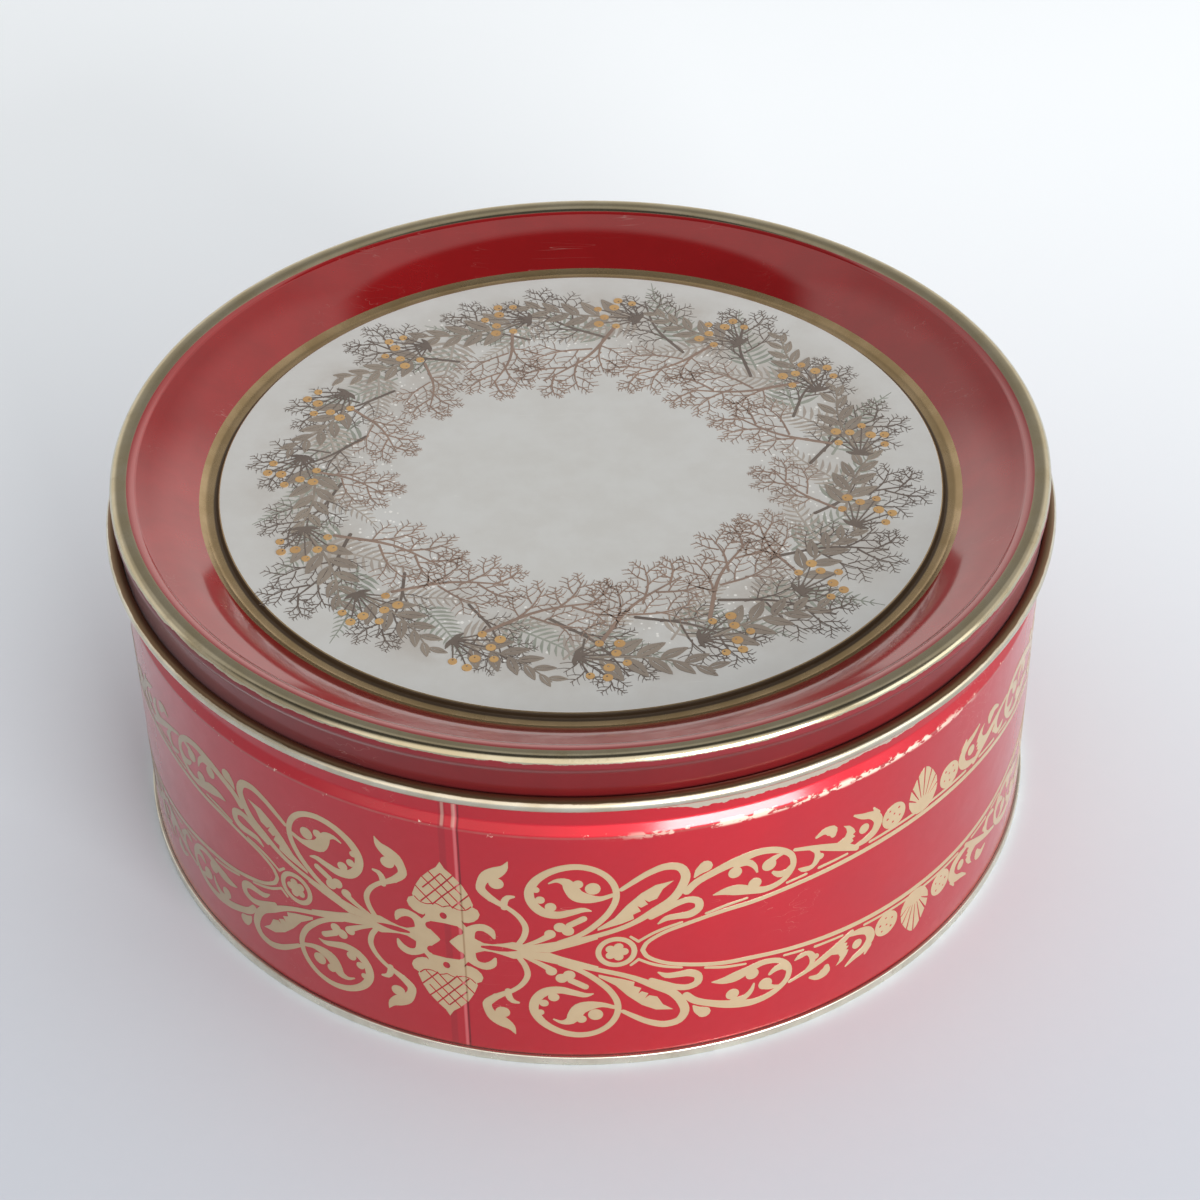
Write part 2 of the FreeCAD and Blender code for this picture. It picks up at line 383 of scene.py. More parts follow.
@dataclass(frozen=True)
class Finish:
    """What every finish shares: a name, and a material with one glossy surface."""

    name: str
    colour: Colour
    second: Colour
    metallic: float = 0.0
    roughness: float = 0.35
    coat: float = 0.0
    coat_roughness: float = 0.1
    coat_index: float = 1.5
    gloss: float = 0.5
    waviness: float = 0.05
    haze: float = 0.0

    def material(self) -> bpy.types.Material:
        """Return the finish's material, which is built at its first use.

        Returns:
            The material.
        """
        made = bpy.data.materials.get(self.name)
        if made is None:
            made = bpy.data.materials.new(self.name)
            made.use_nodes = True
            made.node_tree.nodes.clear()
            self.dress(Graph(made.node_tree))
        return made

    def dress(self, graph: Graph) -> None:
        """Fill the material: base colours, marks on them, and the surface.

        Args:
            graph: The material's graph.
        """
        place = graph.out("ShaderNodeTexCoord", output="Object")
        cloud = Effect.MOTTLE.place(graph, Vector=place, Scale=90.0, Low=0.0, High=1.0)
        look = self.mark(graph, place, {
            "colour": graph.mix(cloud, self.colour, self.second), "metallic": self.metallic,
            "roughness": graph.scale(cloud, self.roughness * 0.9, self.roughness * 1.15), "coat": self.coat})
        swell = graph.noise(place, 28.0, detail=1.0)
        grain = graph.noise(place, 2400.0, detail=1.0)
        height = graph.plus(swell, graph.times(grain, 0.015))
        bump = graph.out("ShaderNodeBump", {"Strength": self.waviness, "Distance": 2 * MM, "Height": height})
        surface = graph.out("ShaderNodeBsdfPrincipled", {
            "Base Color": look["colour"], "Metallic": look["metallic"], "Roughness": look["roughness"],
            "Specular IOR Level": self.gloss, "Coat Weight": look["coat"],
            "Coat Roughness": self.coat_roughness, "Coat IOR": self.coat_index,
            "Sheen Weight": self.haze, "Sheen Roughness": 0.5, "Normal": bump})
        graph.node("ShaderNodeOutputMaterial", {0: surface})

    def mark(self, graph: Graph, place: Socket, look: Look) -> Look:
        """Return the look with marks on it; a plain finish has none."""
        return look

    @staticmethod
    def lay(graph: Graph, share: object, look: Look, colour: Colour, metallic: float,
            roughness: float) -> Look:
        """Lay another colour, metallic and roughness over a share of the surface.

        Args:
            graph: The material's graph.
            share: Where it lies, 0 to 1.
            look: The look so far.
            colour: Colour of what is laid over.
            metallic: How metallic it is.
            roughness: How rough it is.

        Returns:
            The look with it.
        """
        return look | {"colour": graph.mix(share, look["colour"], colour),
                       "metallic": graph.blend(share, look["metallic"], metallic),
                       "roughness": graph.blend(share, look["roughness"], roughness)}

    @staticmethod
    def seam_strip(graph: Graph, place: Socket, ends: Point, soft: float) -> Socket:
        """Return where a strip beside the side seam lies.

        Args:
            graph: The material's graph.
            place: Place on the object.
            ends: Arc lengths from the seam at which the strip starts and ends.
            soft: Softness of its borders.

        Returns:
            1 within the strip and 0 outside it.
        """
        start, end = ends
        return Effect.SEAM_MARKS.place(graph, Vector=place, From=start * MM, To=end * MM, Softness=soft * MM)


@dataclass(frozen=True)
class LidLacquer(Finish):
    """Dark red lacquer of the lid, with hairline scratches and small chips."""

    scratch: Colour = paint(190, 160, 150)

    def mark(self, graph: Graph, place: Socket, look: Look) -> Look:
        """Scratch and chip the lacquer.

        Args:
            graph: The material's graph.
            place: Place on the object.
            look: The look so far.

        Returns:
            The look with the marks on it.
        """
        lines = Effect.HAIRLINES.place(graph, Vector=place, Scale=420.0, Width=0.006, Amount=0.35)
        look = self.lay(graph, lines, look, self.scratch, 0.4, 0.4)
        chips = Effect.SPECKS.place(graph, Vector=place, Scale=160.0, Size=0.9, Amount=0.05)
        return self.lay(graph, chips, look, self.scratch, 0.6, 0.4)


@dataclass(frozen=True)
class WallLacquer(Finish):
    """Red lacquer of the wall: worn at the neck and the shoulder, painted highlight and shade at the seam, a
    dark line at the foot.
    """

    worn: Colour = paint(214, 188, 170)
    seam_highlight: Colour = paint(212, 124, 126)
    shade: Colour = paint(84, 14, 22)
    dust: Colour = paint(142, 92, 84)
    metal: Colour = paint(190, 178, 160)
    foot_line: Colour = paint(44, 12, 16)
    neck_edge: float = 72.4
    neck_drop: float = 2.6
    neck_raggedness: float = 3.0
    worn_azimuth: float = -62.0
    worn_from: float = 90.0
    worn_to: float = 98.5
    dust_drop: float = 0.35
    foot_line_from: float = 0.15
    foot_line_to: float = 0.55

    def mark(self, graph: Graph, place: Socket, look: Look) -> Look:
        """Wear and scratch the wall, paint a highlight and shade beside its seam, and darken a line along
        its foot.

        Args:
            graph: The material's graph.
            place: Place on the object.
            look: The look so far.

        Returns:
            The look with the marks on it.
        """
        look = self.wear(graph, place, look)
        lines = Effect.HAIRLINES.place(graph, Vector=place, Scale=330.0, Width=0.004, Amount=0.3)
        look = self.lay(graph, lines, look, self.worn, 0.0, 0.45)
        # Beside the seam: a painted highlight where the fold's ridge would shine, painted shade along the
        # shallow trough beside it, and a dark line on the seam's sunk line. The ridge and the trough are not
        # in the mesh.
        for ends, share, colour in (((-1.05, -0.4), 0.5, self.seam_highlight), ((-4.1, -2.7), 0.3, self.shade),
                                    ((-0.32, 0.06), 0.85, self.shade)):
            strip = self.seam_strip(graph, place, ends, 0.2)
            look = self.lay(graph, graph.times(strip, share), look, colour, 0.4, 0.5)
        height = graph.parts(place)[2]
        # A dark line along the wall's lowest painted strip, just above the base's seam.
        low = Base.seam_height + self.foot_line_from
        foot = graph.fall(height, low * MM, (Base.seam_height + self.foot_line_to) * MM)
        look = self.lay(graph, graph.times(foot, 0.8), look, self.foot_line, 0.1, 0.6)
        neck = graph.step(height, (Wall.shoulder_foot - 0.3) * MM, (Wall.shoulder_foot + 0.3) * MM)
        # Two painted highlights on the neck, in the bare metal's colour, where the fold's ridge and edge
        # would shine.
        for ends in ((-3.65, -3.0), (-1.4, -0.7)):
            strip = self.seam_strip(graph, place, ends, 0.15)
            look = self.lay(graph, graph.times(strip, neck, 0.38), look, self.metal, 0.2, 0.45)
        return look

    def wear(self, graph: Graph, place: Socket, look: Look) -> Look:
        """Bare the neck, dull the shoulder's foot and rub it where the tin is handled.

        Args:
            graph: The material's graph.
            place: Place on the object.
            look: The look so far.

        Returns:
            The look with the wear on it.
        """
        handled = graph.step(graph.towards(place, self.worn_azimuth), self.worn_from * MM, self.worn_to * MM)
        edge = graph.minus(self.neck_edge * MM, graph.times(handled, self.neck_drop * MM))
        bare = Effect.RAGGED_EDGE.place(
            graph, Vector=place, Edge=edge, Raggedness=self.neck_raggedness * MM, Scale=170.0)
        look = self.lay(graph, bare, look, self.metal, 0.8, 0.35)
        below = graph.minus(graph.parts(place)[2], (Wall.shoulder_foot - self.dust_drop) * MM)
        off = graph.math("ABSOLUTE", below)
        cloud = graph.scale(graph.noise(place, 240.0, detail=4.0), 0.1, 0.75)
        dull = graph.times(graph.fall(off, 0.1 * MM, 0.45 * MM), cloud)
        look = self.lay(graph, dull, look, self.dust, 0.0, 0.5)
        long = graph.noise(graph.stretch(place, (1.0, 1.0, 2.0)), 190.0, detail=6.0, rough=0.68)
        rubbed = graph.times(graph.step(long, 0.5, 0.54), handled)
        dots = graph.step(graph.noise(place, 620.0, detail=5.0, rough=0.7), 0.63, 0.67)
        near = graph.fall(off, 0.3 * MM, 1.1 * MM)
        wear = graph.times(near, graph.math("MAXIMUM", rubbed, dots))
        return self.lay(graph, wear, look, self.worn, 0.2, 0.45)


@dataclass(frozen=True)
class TarnishedMetal(Finish):
    """Bare metal with brown tarnish in clouds."""

    tarnish: Colour = paint(132, 116, 78)

    def mark(self, graph: Graph, place: Socket, look: Look) -> Look:
        """Return the look with the tarnish on it."""
        cloud = graph.step(graph.noise(place, 160.0, detail=6.0, rough=0.7), 0.5, 0.75)
        return self.lay(graph, graph.times(cloud, 0.35), look, self.tarnish, 0.9, 0.4)


@dataclass(frozen=True)
class WornRim(TarnishedMetal):
    """Tarnished rim between two lacquers: ragged at the skirt, and printed off the middle at the band."""

    skirt: Colour = paint(120, 30, 36)
    skirt_edge: float = 85.3
    skirt_raggedness: float = 1.5
    band: Colour = paint(152, 13, 18)
    band_edge: float = 98.15
    band_shift: float = -1.25

    def mark(self, graph: Graph, place: Socket, look: Look) -> Look:
        """Tarnish the metal and lay both lacquers over its sides.

        Args:
            graph: The material's graph.
            place: Place on the object.
            look: The look so far.

        Returns:
            The look with the marks on it.
        """
        look = super().mark(graph, place, look)
        bare = Effect.RAGGED_EDGE.place(graph, Vector=place, Edge=self.skirt_edge * MM,
                                        Raggedness=self.skirt_raggedness * MM, Scale=180.0)
        look = self.lay(graph, graph.minus(1.0, bare), look, self.skirt, 0.3, 0.35)
        reach = graph.reach(place, (0.0, self.band_shift * MM, 0.0))
        inner = graph.fall(reach, (self.band_edge - 0.1) * MM, (self.band_edge + 0.1) * MM)
        return self.lay(graph, inner, look, self.band, 0.5, 0.3) | {"coat": inner}


@dataclass(frozen=True)
class CurlMetal(Finish):
    """Bare metal of the rolled edge, its upper side brown tarnish darkened as a painted reflection of the
    dark skirt above.
    """

    tarnish: Colour = paint(116, 90, 64)
    upper_dark_edge: float = 76.4
    raggedness: float = 0.5

    def mark(self, graph: Graph, place: Socket, look: Look) -> Look:
        """Paint the upper side dark: tarnish, and a painted reflection of the skirt.

        Args:
            graph: The material's graph.
            place: Place on the object.
            look: The look so far.

        Returns:
            The look with the dark upper side on it.
        """
        # Upper side: tarnish colour laid nearly solid, a painted reflection of the dark skirt above it.
        upper = Effect.RAGGED_EDGE.place(graph, Vector=place, Edge=self.upper_dark_edge * MM,
                                         Raggedness=self.raggedness * MM, Scale=160.0)
        return self.lay(graph, graph.times(upper, 0.96), look, self.tarnish, 0.85, 0.3)


@dataclass(frozen=True)
class GrooveGold(Finish):
    """Gold lacquer of the groove, with painted shade along the foot of the panel."""

    groove_shade: Colour = paint(50, 33, 15)
    groove_shade_from: float = 79.25
    groove_shade_to: float = 80.45

    def mark(self, graph: Graph, place: Socket, look: Look) -> Look:
        """Paint shade into the groove beside the panel.

        Args:
            graph: The material's graph.
            place: Place on the object.
            look: The look so far.

        Returns:
            The look with the painted shade on it.
        """
        # Painted shade: dark brown in the groove's hollow, along the panel's edge.
        reach = graph.reach(place)
        rise = graph.step(reach, (self.groove_shade_from - 0.1) * MM, (self.groove_shade_from + 0.1) * MM)
        fall = graph.fall(reach, (self.groove_shade_to - 0.25) * MM, (self.groove_shade_to + 0.25) * MM)
        return self.lay(graph, graph.times(rise, fall, 0.93), look, self.groove_shade, 0.2, 0.5)


@dataclass(frozen=True)
class PanelGround(Finish):
    """Silver-grey ground of the panel with a soft brown wash in a ring round its middle."""

    wash: Colour = paint(172, 163, 152)
    streak: Colour = paint(232, 232, 228)
    wash_from: Point = (34.0, 56.0)
    wash_to: Point = (66.0, 77.0)

    def mark(self, graph: Graph, place: Socket, look: Look) -> Look:
        """Wash the ring and add faint rubbed streaks.

        Args:
            graph: The material's graph.
            place: Place on the object.
            look: The look so far.

        Returns:
            The look with the marks on it.
        """
        reach = graph.reach(place)
        rise = graph.step(reach, *[radius * MM for radius in self.wash_from])
        fall = graph.fall(reach, *[radius * MM for radius in self.wash_to])
        cloud = graph.step(graph.noise(place, 55.0, detail=6.0, rough=0.65), 0.3, 0.75)
        look = self.lay(graph, graph.times(rise, fall, cloud, 0.7), look, self.wash, 0.2, 0.36)
        lines = Effect.HAIRLINES.place(graph, Vector=place, Scale=520.0, Width=0.006, Amount=0.25)
        return self.lay(graph, lines, look, self.streak, 0.2, 0.3)


@dataclass(frozen=True)
class FloorPaper(Finish):
    """Plain paper, with painted light that makes it paler towards the back."""

    far: Colour = paint(250, 253, 254)
    near_end: float = -200.0
    far_end: float = 350.0

    def mark(self, graph: Graph, place: Socket, look: Look) -> Look:
        """Return the look with painted light: paler towards the back."""
        # Painted light: the colour ramps to a paler one towards the back.
        depth = graph.step(graph.parts(place)[1], self.near_end * MM, self.far_end * MM)
        return self.lay(graph, depth, look, self.far, 0.0, self.roughness)


@dataclass(frozen=True)
class Ink(Finish):
    """Printing ink with fine wear; on the wall it carries the side seam's dark line too."""

    on_seam: bool = False
    worn: Colour = paint(196, 120, 110)
    seam_line: Colour = paint(120, 84, 50)

    def mark(self, graph: Graph, place: Socket, look: Look) -> Look:
        """Thin the ink in specks and draw the seam's line.

        Args:
            graph: The material's graph.
            place: Place on the object.
            look: The look so far.

        Returns:
            The look with the marks on it.
        """
        chips = Effect.SPECKS.place(graph, Vector=place, Scale=500.0, Size=0.8, Amount=0.06)
        look = self.lay(graph, chips, look, self.worn, 0.1, 0.4)
        if not self.on_seam:
            return look
        dark = self.seam_strip(graph, place, (-0.32, 0.06), 0.2)
        return self.lay(graph, graph.times(dark, 0.7), look, self.seam_line, 0.1, 0.5)


LID_RED = LidLacquer(
    "maroon_lacquer", paint(152, 13, 18), paint(142, 11, 15), metallic=0.5, roughness=0.3, coat=1.0,
    coat_roughness=0.08, coat_index=2.0, gloss=0.0)
SKIRT_RED = LidLacquer(
    "skirt_lacquer", paint(112, 10, 15), paint(104, 9, 13), metallic=0.4, roughness=0.4, coat=0.6,
    coat_roughness=0.12, coat_index=1.45, gloss=0.0, haze=0.16)
WALL_RED = WallLacquer(
    "red_lacquer", paint(178, 15, 34), paint(172, 14, 31), metallic=0.8, roughness=0.52, coat=1.0,
    coat_roughness=0.16, coat_index=1.5, gloss=0.0, haze=0.04)
RIM_METAL = WornRim(
    "worn_rim", paint(198, 191, 166), paint(186, 176, 146), metallic=1.0, roughness=0.15,
    coat_roughness=0.08, coat_index=2.0)
CURL_METAL = CurlMetal("bare_curl", paint(216, 210, 192), paint(196, 186, 162), metallic=1.0, roughness=0.24)
GOLD_LACQUER = GrooveGold(
    "gold_groove", paint(186, 163, 126), paint(166, 143, 104), metallic=0.85, roughness=0.26)
PANEL_GROUND = PanelGround(
    "panel_ground", paint(206, 206, 202), paint(200, 199, 194), metallic=0.2, roughness=0.34, coat=0.8,
    coat_roughness=0.1)
TINPLATE = Finish("plain_tinplate", paint(222, 225, 218), paint(208, 210, 202), metallic=1.0, roughness=0.3)
BASE_METAL = TarnishedMetal(
    "base_metal", paint(231, 228, 214), paint(214, 210, 194), metallic=1.0, roughness=0.28)
CREAM_INK = Ink(
    "cream_ink", paint(174, 154, 122), paint(167, 146, 114), metallic=0.35, roughness=0.5, coat=1.0,
    coat_roughness=0.2, gloss=0.0, on_seam=True)
UMBER_INK = Ink("umber_ink", paint(92, 80, 72), paint(104, 92, 82), coat=0.6)
BROWN_INK = Ink("brown_ink", paint(142, 118, 102), paint(128, 106, 92), coat=0.6)
BARK_INK = Ink("bark_ink", paint(126, 114, 102), paint(140, 128, 114), coat=0.6)
DUN_INK = Ink("dun_ink", paint(164, 154, 142), paint(152, 142, 132), coat=0.6)
GREEN_INK = Ink("grey_green_ink", paint(134, 138, 126), paint(146, 148, 136), coat=0.6)
OCHRE_INK = Ink("ochre_ink", paint(190, 150, 92), paint(176, 134, 80), coat=0.6)
PALE_INK = Ink("pale_ink", paint(226, 224, 218), paint(218, 216, 210), coat=0.6)
FLOOR_PAPER = FloorPaper(
    "floor_paper", paint(194, 199, 206), paint(193, 198, 205), roughness=0.75, waviness=0.03)


def evaluated(mesh: bpy.types.Mesh, tree: Tree, settings: dict[str, object]) -> bpy.types.Mesh:
    """Run a geometry tree on a mesh and return the result as a plain mesh.

    Args:
        mesh: The mesh that the tree starts from.
        tree: The geometry tree.
        settings: Values of the tree's inputs, by name.

    Returns:
        The finished mesh, free of modifiers.
    """
    carrier = bpy.data.objects.new("carrier", mesh)
    bpy.context.scene.collection.objects.link(carrier)
    modifier = carrier.modifiers.new("shape", "NODES")
    modifier.node_group = tree
    for item in tree.interface.items_tree:
        if item.in_out == "INPUT" and item.name in settings:
            modifier[item.identifier] = settings[item.name]
    graph = bpy.context.evaluated_depsgraph_get()
    made = bpy.data.meshes.new_from_object(carrier.evaluated_get(graph))
    bpy.data.objects.remove(carrier)
    return made


def mesh_of(name: str, points: Iterable[Sequence[float]], edges: Sequence[Sequence[int]] = (),
            faces: Sequence[Sequence[int]] = ()) -> bpy.types.Mesh:
    """Make a mesh from plain lists.

    Args:
        name: The mesh's name.
        points: Its points.
        edges: Numbers of the points of each edge.
        faces: Numbers of the points round each face.

    Returns:
        The mesh.
    """
    mesh = bpy.data.meshes.new(name)
    mesh.from_pydata([tuple(p) for p in points], edges, faces)
    return mesh


def piece(name: str, mesh: bpy.types.Mesh, body: str, slot: str, *nodes: str) -> bpy.types.Object:
    """Put a finished mesh into the scene as a piece of the tin.

    Args:
        name: The piece's name.
        mesh: Its finished mesh.
        body: The body that it moves with.
        slot: The record's material slot that its finish belongs to; not used.
        nodes: The solids that it stands for.

    Returns:
        The new object.
    """
    mesh.name = name
    obj = bpy.data.objects.new(name, mesh)
    bpy.context.scene.collection.objects.link(obj)
    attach(obj, body)
    if nodes:
        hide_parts(*nodes)
    LOG.info("%s: %d faces", name, len(mesh.polygons))
    return obj


class SheetPath:
    """Line along one face of a sheet, in radius and height, with the direction of the sheet's other face.

    The line is drawn run by run: straight runs with rounded corners, and curls at its ends.
    """

    def __init__(self, back_side: int) -> None:
        """Start an empty line.

        Args:
            back_side: 1 if the sheet lies to the left of the line, -1 if to the right.
        """
        self.back_side = back_side
        self.points: list[Point] = []
        self.backs: list[Point] = []

    def add(self, spot: Vector, along: Vector) -> None:
        """Add one point.

        Args:
            spot: The point.
            along: The line's direction there.
        """
        if self.points and (Vector(self.points[-1]) - spot).length < 1e-6:
            return
        self.points.append((spot.x, spot.y))
        self.backs.append((-along.y * self.back_side, along.x * self.back_side))

    def runs(self, corners: Sequence[tuple[float, float, float]], longest: float = 6.0) -> None:
        """Draw straight runs through rounded corners.

        Args:
            corners: Radius, height and rounding of each corner, the two ends included.
            longest: Longest straight step between points.
        """
        spots = [Vector(corner[:2]) for corner in corners]
        start = spots[0]
        for i in range(1, len(spots)):
            along = (spots[i] - spots[i - 1]).normalized()
            if i == len(spots) - 1:
                self.straight(start, spots[i], longest)
                return
            ahead = (spots[i + 1] - spots[i]).normalized()
            turn = along.angle_signed(ahead)
            rounding = corners[i][2]
            setback = rounding * math.tan(abs(turn) / 2)
            self.straight(start, spots[i] - along * setback, longest)
            side = 1 if turn < 0 else -1
            centre = spots[i] - along * setback + Vector((-along.y, along.x)) * side * rounding
            arc = rounding * abs(turn)
            steps = max(3, math.ceil(abs(math.degrees(turn)) / 9), math.ceil(arc / longest))
            for k in range(1, steps + 1):
                direction = Vector(along)
                direction.rotate(Matrix.Rotation(-turn * k / steps, 2))
                self.add(centre - Vector((-direction.y, direction.x)) * side * rounding, direction)
            start = spots[i] + ahead * setback

    def straight(self, start: Vector, end: Vector, longest: float) -> None:
        """Draw one straight run in equal steps.

        Args:
            start: Its start.
            end: Its end.
            longest: Longest step between points.
        """
        length = (end - start).length
        along = (end - start).normalized()
        steps = max(1, math.ceil(length / longest))
        for k in range(steps + 1):
            self.add(start + along * (length * k / steps), along)

    def curl(self, centre: Point, radius: float, first: float, last: float, steps: int = 30) -> None:
        """Draw a curl about a centre.

        Args:
            centre: The centre.
            radius: The curl's radius.
            first: Angle of its start, in degrees.
            last: Angle of its end, in degrees.
            steps: How many steps it is drawn in.
        """
        spin = 1 if last > first else -1
        for k in range(steps + 1):
            angle = math.radians(first + (last - first) * k / steps)
            out = Vector((math.cos(angle), math.sin(angle)))
            self.add(Vector(centre) + out * radius, Vector((-out.y, out.x)) * spin)

    def loop(self) -> np.ndarray:
        """Go round the sheet's whole outline.

        Returns:
            Points along this face from start to end, and along the other back.
        """
        front = np.array(self.points)
        back = front + np.array(self.backs) * GAUGE
        return np.vstack([front, back[::-1]])


def turned_sheet_tree(name: str, finishes: Sequence[Finish]) -> Tree:
    """Build the tree that turns a sheet's outline about the tin's axis and lays a finish on each zone.

    Args:
        name: The tree's name.
        finishes: Finish of each zone, by number.

    Returns:
        The tree.
    """
    tree = bpy.data.node_groups.new(name, "GeometryNodeTree")
    inputs = {"Outline": "Geometry", "Stations": "Object", "Weld distance": "Float"}
    graph, given = open_tree(tree, inputs, "Geometry")
    outline = given["Outline"]
    stations = graph.out("GeometryNodeObjectInfo", {"Object": given["Stations"]}, output="Geometry")
    rows = graph.out("GeometryNodeAttributeDomainSize", {0: outline}, output="Point Count")
    columns = graph.out("GeometryNodeAttributeDomainSize", {0: stations}, output="Point Count")
    grid = graph.out("GeometryNodeMeshGrid", {"Vertices X": rows, "Vertices Y": columns})
    index = graph.out("GeometryNodeInputIndex")
    spot = graph.out("GeometryNodeInputPosition")
    row = graph.whole("DIVIDE_FLOOR", index, columns)
    on_line = graph.parts(graph.sample(outline, spot, row, "FLOAT_VECTOR"))
    station = graph.sample(stations, spot, graph.whole("MODULO", index, columns), "FLOAT_VECTOR")
    turned = graph.polar(on_line[0], graph.parts(station)[0], on_line[2])
    shell = graph.out("GeometryNodeSetPosition", {"Geometry": grid, "Position": turned})
    zone = graph.out("GeometryNodeInputNamedAttribute", {"Name": "zone"}, data_type="INT")
    face_row = graph.whole("DIVIDE_FLOOR", index, graph.whole("SUBTRACT", columns, 1))
    face_zone = {"Name": "zone", "Value": graph.sample(outline, zone, face_row, "INT")}
    shell = graph.out("GeometryNodeStoreNamedAttribute", {"Geometry": shell} | face_zone,
                      data_type="INT", domain="FACE")
    shell = graph.out("GeometryNodeMergeByDistance", {"Geometry": shell, "Distance": given["Weld distance"]})
    shell = graph.out("GeometryNodeRealizeInstances", {0: shell})
    for number, finish in enumerate(finishes):
        same = graph.out("FunctionNodeCompare", {2: zone, 3: number}, data_type="INT", operation="EQUAL")
        shell = graph.out("GeometryNodeSetMaterial", {
            "Geometry": shell, "Selection": same, "Material": finish.material()})
    graph.node("NodeGroupOutput", {0: shell})
    return tree


def turned_sheet(name: str, path: SheetPath, finishes: Sequence[Finish], zone_of: ZoneRule,
                 back_zone_of: ZoneRule, stations: Sequence[float]) -> bpy.types.Mesh:
    """Turn a sheet about the tin's axis.

    Args:
        name: Name of the mesh.
        path: Line along the sheet's drawn face.
        finishes: Finish of each zone.
        zone_of: Gives the zone's number from a radius and a height on the drawn face.
        back_zone_of: Gives the zone's number from a radius and a height on the other face.
        stations: Angles of the upright lines of the mesh, in radians.

    Returns:
        The closed shell.
    """
    loop = path.loop()
    if loop[0][0] > 0.01:
        loop = np.vstack([loop, loop[:1]])
    count = len(path.points)
    zones = []
    for i in range(len(loop) - 1):
        middle = (loop[i] + loop[i + 1]) / 2
        zones.append(zone_of(*middle) if i < count - 1 else back_zone_of(*middle))
    links = [(i, i + 1) for i in range(len(loop) - 1)]
    outline = mesh_of("outline", [(r * MM, 0.0, z * MM) for r, z in loop], links)
    attribute = outline.attributes.new("zone", "INT", "POINT")
    attribute.data.foreach_set("value", zones + zones[-1:])
    angles = list(stations) + [stations[0] + 2 * math.pi]
    spokes = bpy.data.objects.new("stations", mesh_of("stations", [(a, 0.0, 0.0) for a in angles]))
    tree = turned_sheet_tree(name, finishes)
    shell = evaluated(outline, tree, {"Stations": spokes, "Weld distance": WELD})
    bpy.data.objects.remove(spokes)
    shell.attributes.remove(shell.attributes["zone"])
    shell.shade_smooth()
    shell.set_sharp_from_angle(angle=SHARP)
    return shell


def even_stations(count: int = 360) -> list[float]:
    """Return evenly spaced angles round the tin."""
    return [2 * math.pi * k / count for k in range(count)]


class LidZone(Enum):
    """Zones of the lid's face, each with its own finish."""

    PANEL = 0
    GROOVE = 1
    BAND = 2
    RIM = 3
    SKIRT = 4
    CURL = 5
    INSIDE = 6


@dataclass
class Lid:
    """Drawn lid with a sunk printed panel."""

    top: float = 86.8
    panel_edge: float = 79.4
    panel_top: float = 78.4
    groove_floor: float = 77.1
    groove_inner: float = 79.8
    groove_outer: float = 82.0
    rim_foot: float = 96.4
    rim_foot_top: float = 85.6
    crown_inner: float = 97.7
    rim: float = 102.0
    tuck_top: float = 83.8
    tuck_foot: float = 82.4
    skirt: float = 101.15
    curl_height: float = 75.3
    curl_radius: float = 1.25
    band_share: float = 0.42
    band_crown: float = 0.95
    band_rounding: float = 37.44
    gold_edge: float = 83.5
    bare_edge: float = 96.75
    finishes: Sequence[Finish] = (
        PANEL_GROUND, GOLD_LACQUER, LID_RED, RIM_METAL, SKIRT_RED, CURL_METAL, TINPLATE)

    def path(self) -> SheetPath:
        """Draw the lid's upper and outer face from the middle of the panel to the end of the curl.

        Returns:
            The line.
        """
        knee = self.rim_foot - self.band_share * (self.rim_foot - self.groove_outer)
        chord = self.rim_foot_top - self.band_share * (self.rim_foot_top - self.groove_floor)
        knee_top = chord + self.band_crown
        gold_share = (self.gold_edge - self.groove_outer) / (knee - self.groove_outer)
        gold_top = self.groove_floor + gold_share * (knee_top - self.groove_floor)
        path = SheetPath(back_side=-1)
        path.runs([
            (0.0, self.panel_top, 0.0), (self.panel_edge, self.panel_top, 0.8),
            (self.groove_inner, self.groove_floor, 0.6), (self.groove_outer, self.groove_floor, 1.6),
            (self.gold_edge, gold_top, 0.0), (knee, knee_top, self.band_rounding),
            (self.rim_foot, self.rim_foot_top, 1.2),
            (self.crown_inner, self.top, 3.6), (self.rim, self.top, 1.9), (self.rim, self.tuck_top, 1.2),
            (self.skirt, self.tuck_foot, 1.2), (self.skirt, self.curl_height, 0.0)])
        path.curl((self.skirt + self.curl_radius, self.curl_height), self.curl_radius, 180.0, 494.4)
        return path

    def zone(self, radius: float, height: float) -> int:
        """Tell the zone of a place on the drawn face.

        Args:
            radius: Radius of the place.
            height: Height of the place.

        Returns:
            The zone's number.
        """
        if height < self.curl_height:
            return LidZone.CURL.value
        if radius > self.bare_edge:
            on_skirt = height < self.tuck_top + 0.3 and radius > self.skirt - 0.1
            past_skirt = radius > self.skirt + 0.05 and height < self.tuck_foot - 0.5
            if past_skirt:
                return LidZone.CURL.value
            return LidZone.SKIRT.value if on_skirt else LidZone.RIM.value
        if radius > self.gold_edge:
            return LidZone.BAND.value
        return LidZone.GROOVE.value if radius > self.panel_edge - 0.4 else LidZone.PANEL.value

    def back_zone(self, radius: float, height: float) -> int:
        """Return the number of the zone on the other face, which is the outside of the curl."""
        on_curl = radius > self.skirt and height < self.curl_height + 2 * self.curl_radius
        return LidZone.CURL.value if on_curl or height < self.curl_height else LidZone.INSIDE.value

    def build(self) -> None:
        """Make the lid's shell."""
        stations = even_stations()
        shell = turned_sheet("lid_sheet", self.path(), self.finishes, self.zone, self.back_zone, stations)
        piece("lid_shell", shell, "lid", "lid_lacquer", "lid")


class WallZone(Enum):
    """Zones of the wall's face, each with its own finish."""

    RED = 0
    BARE = 1


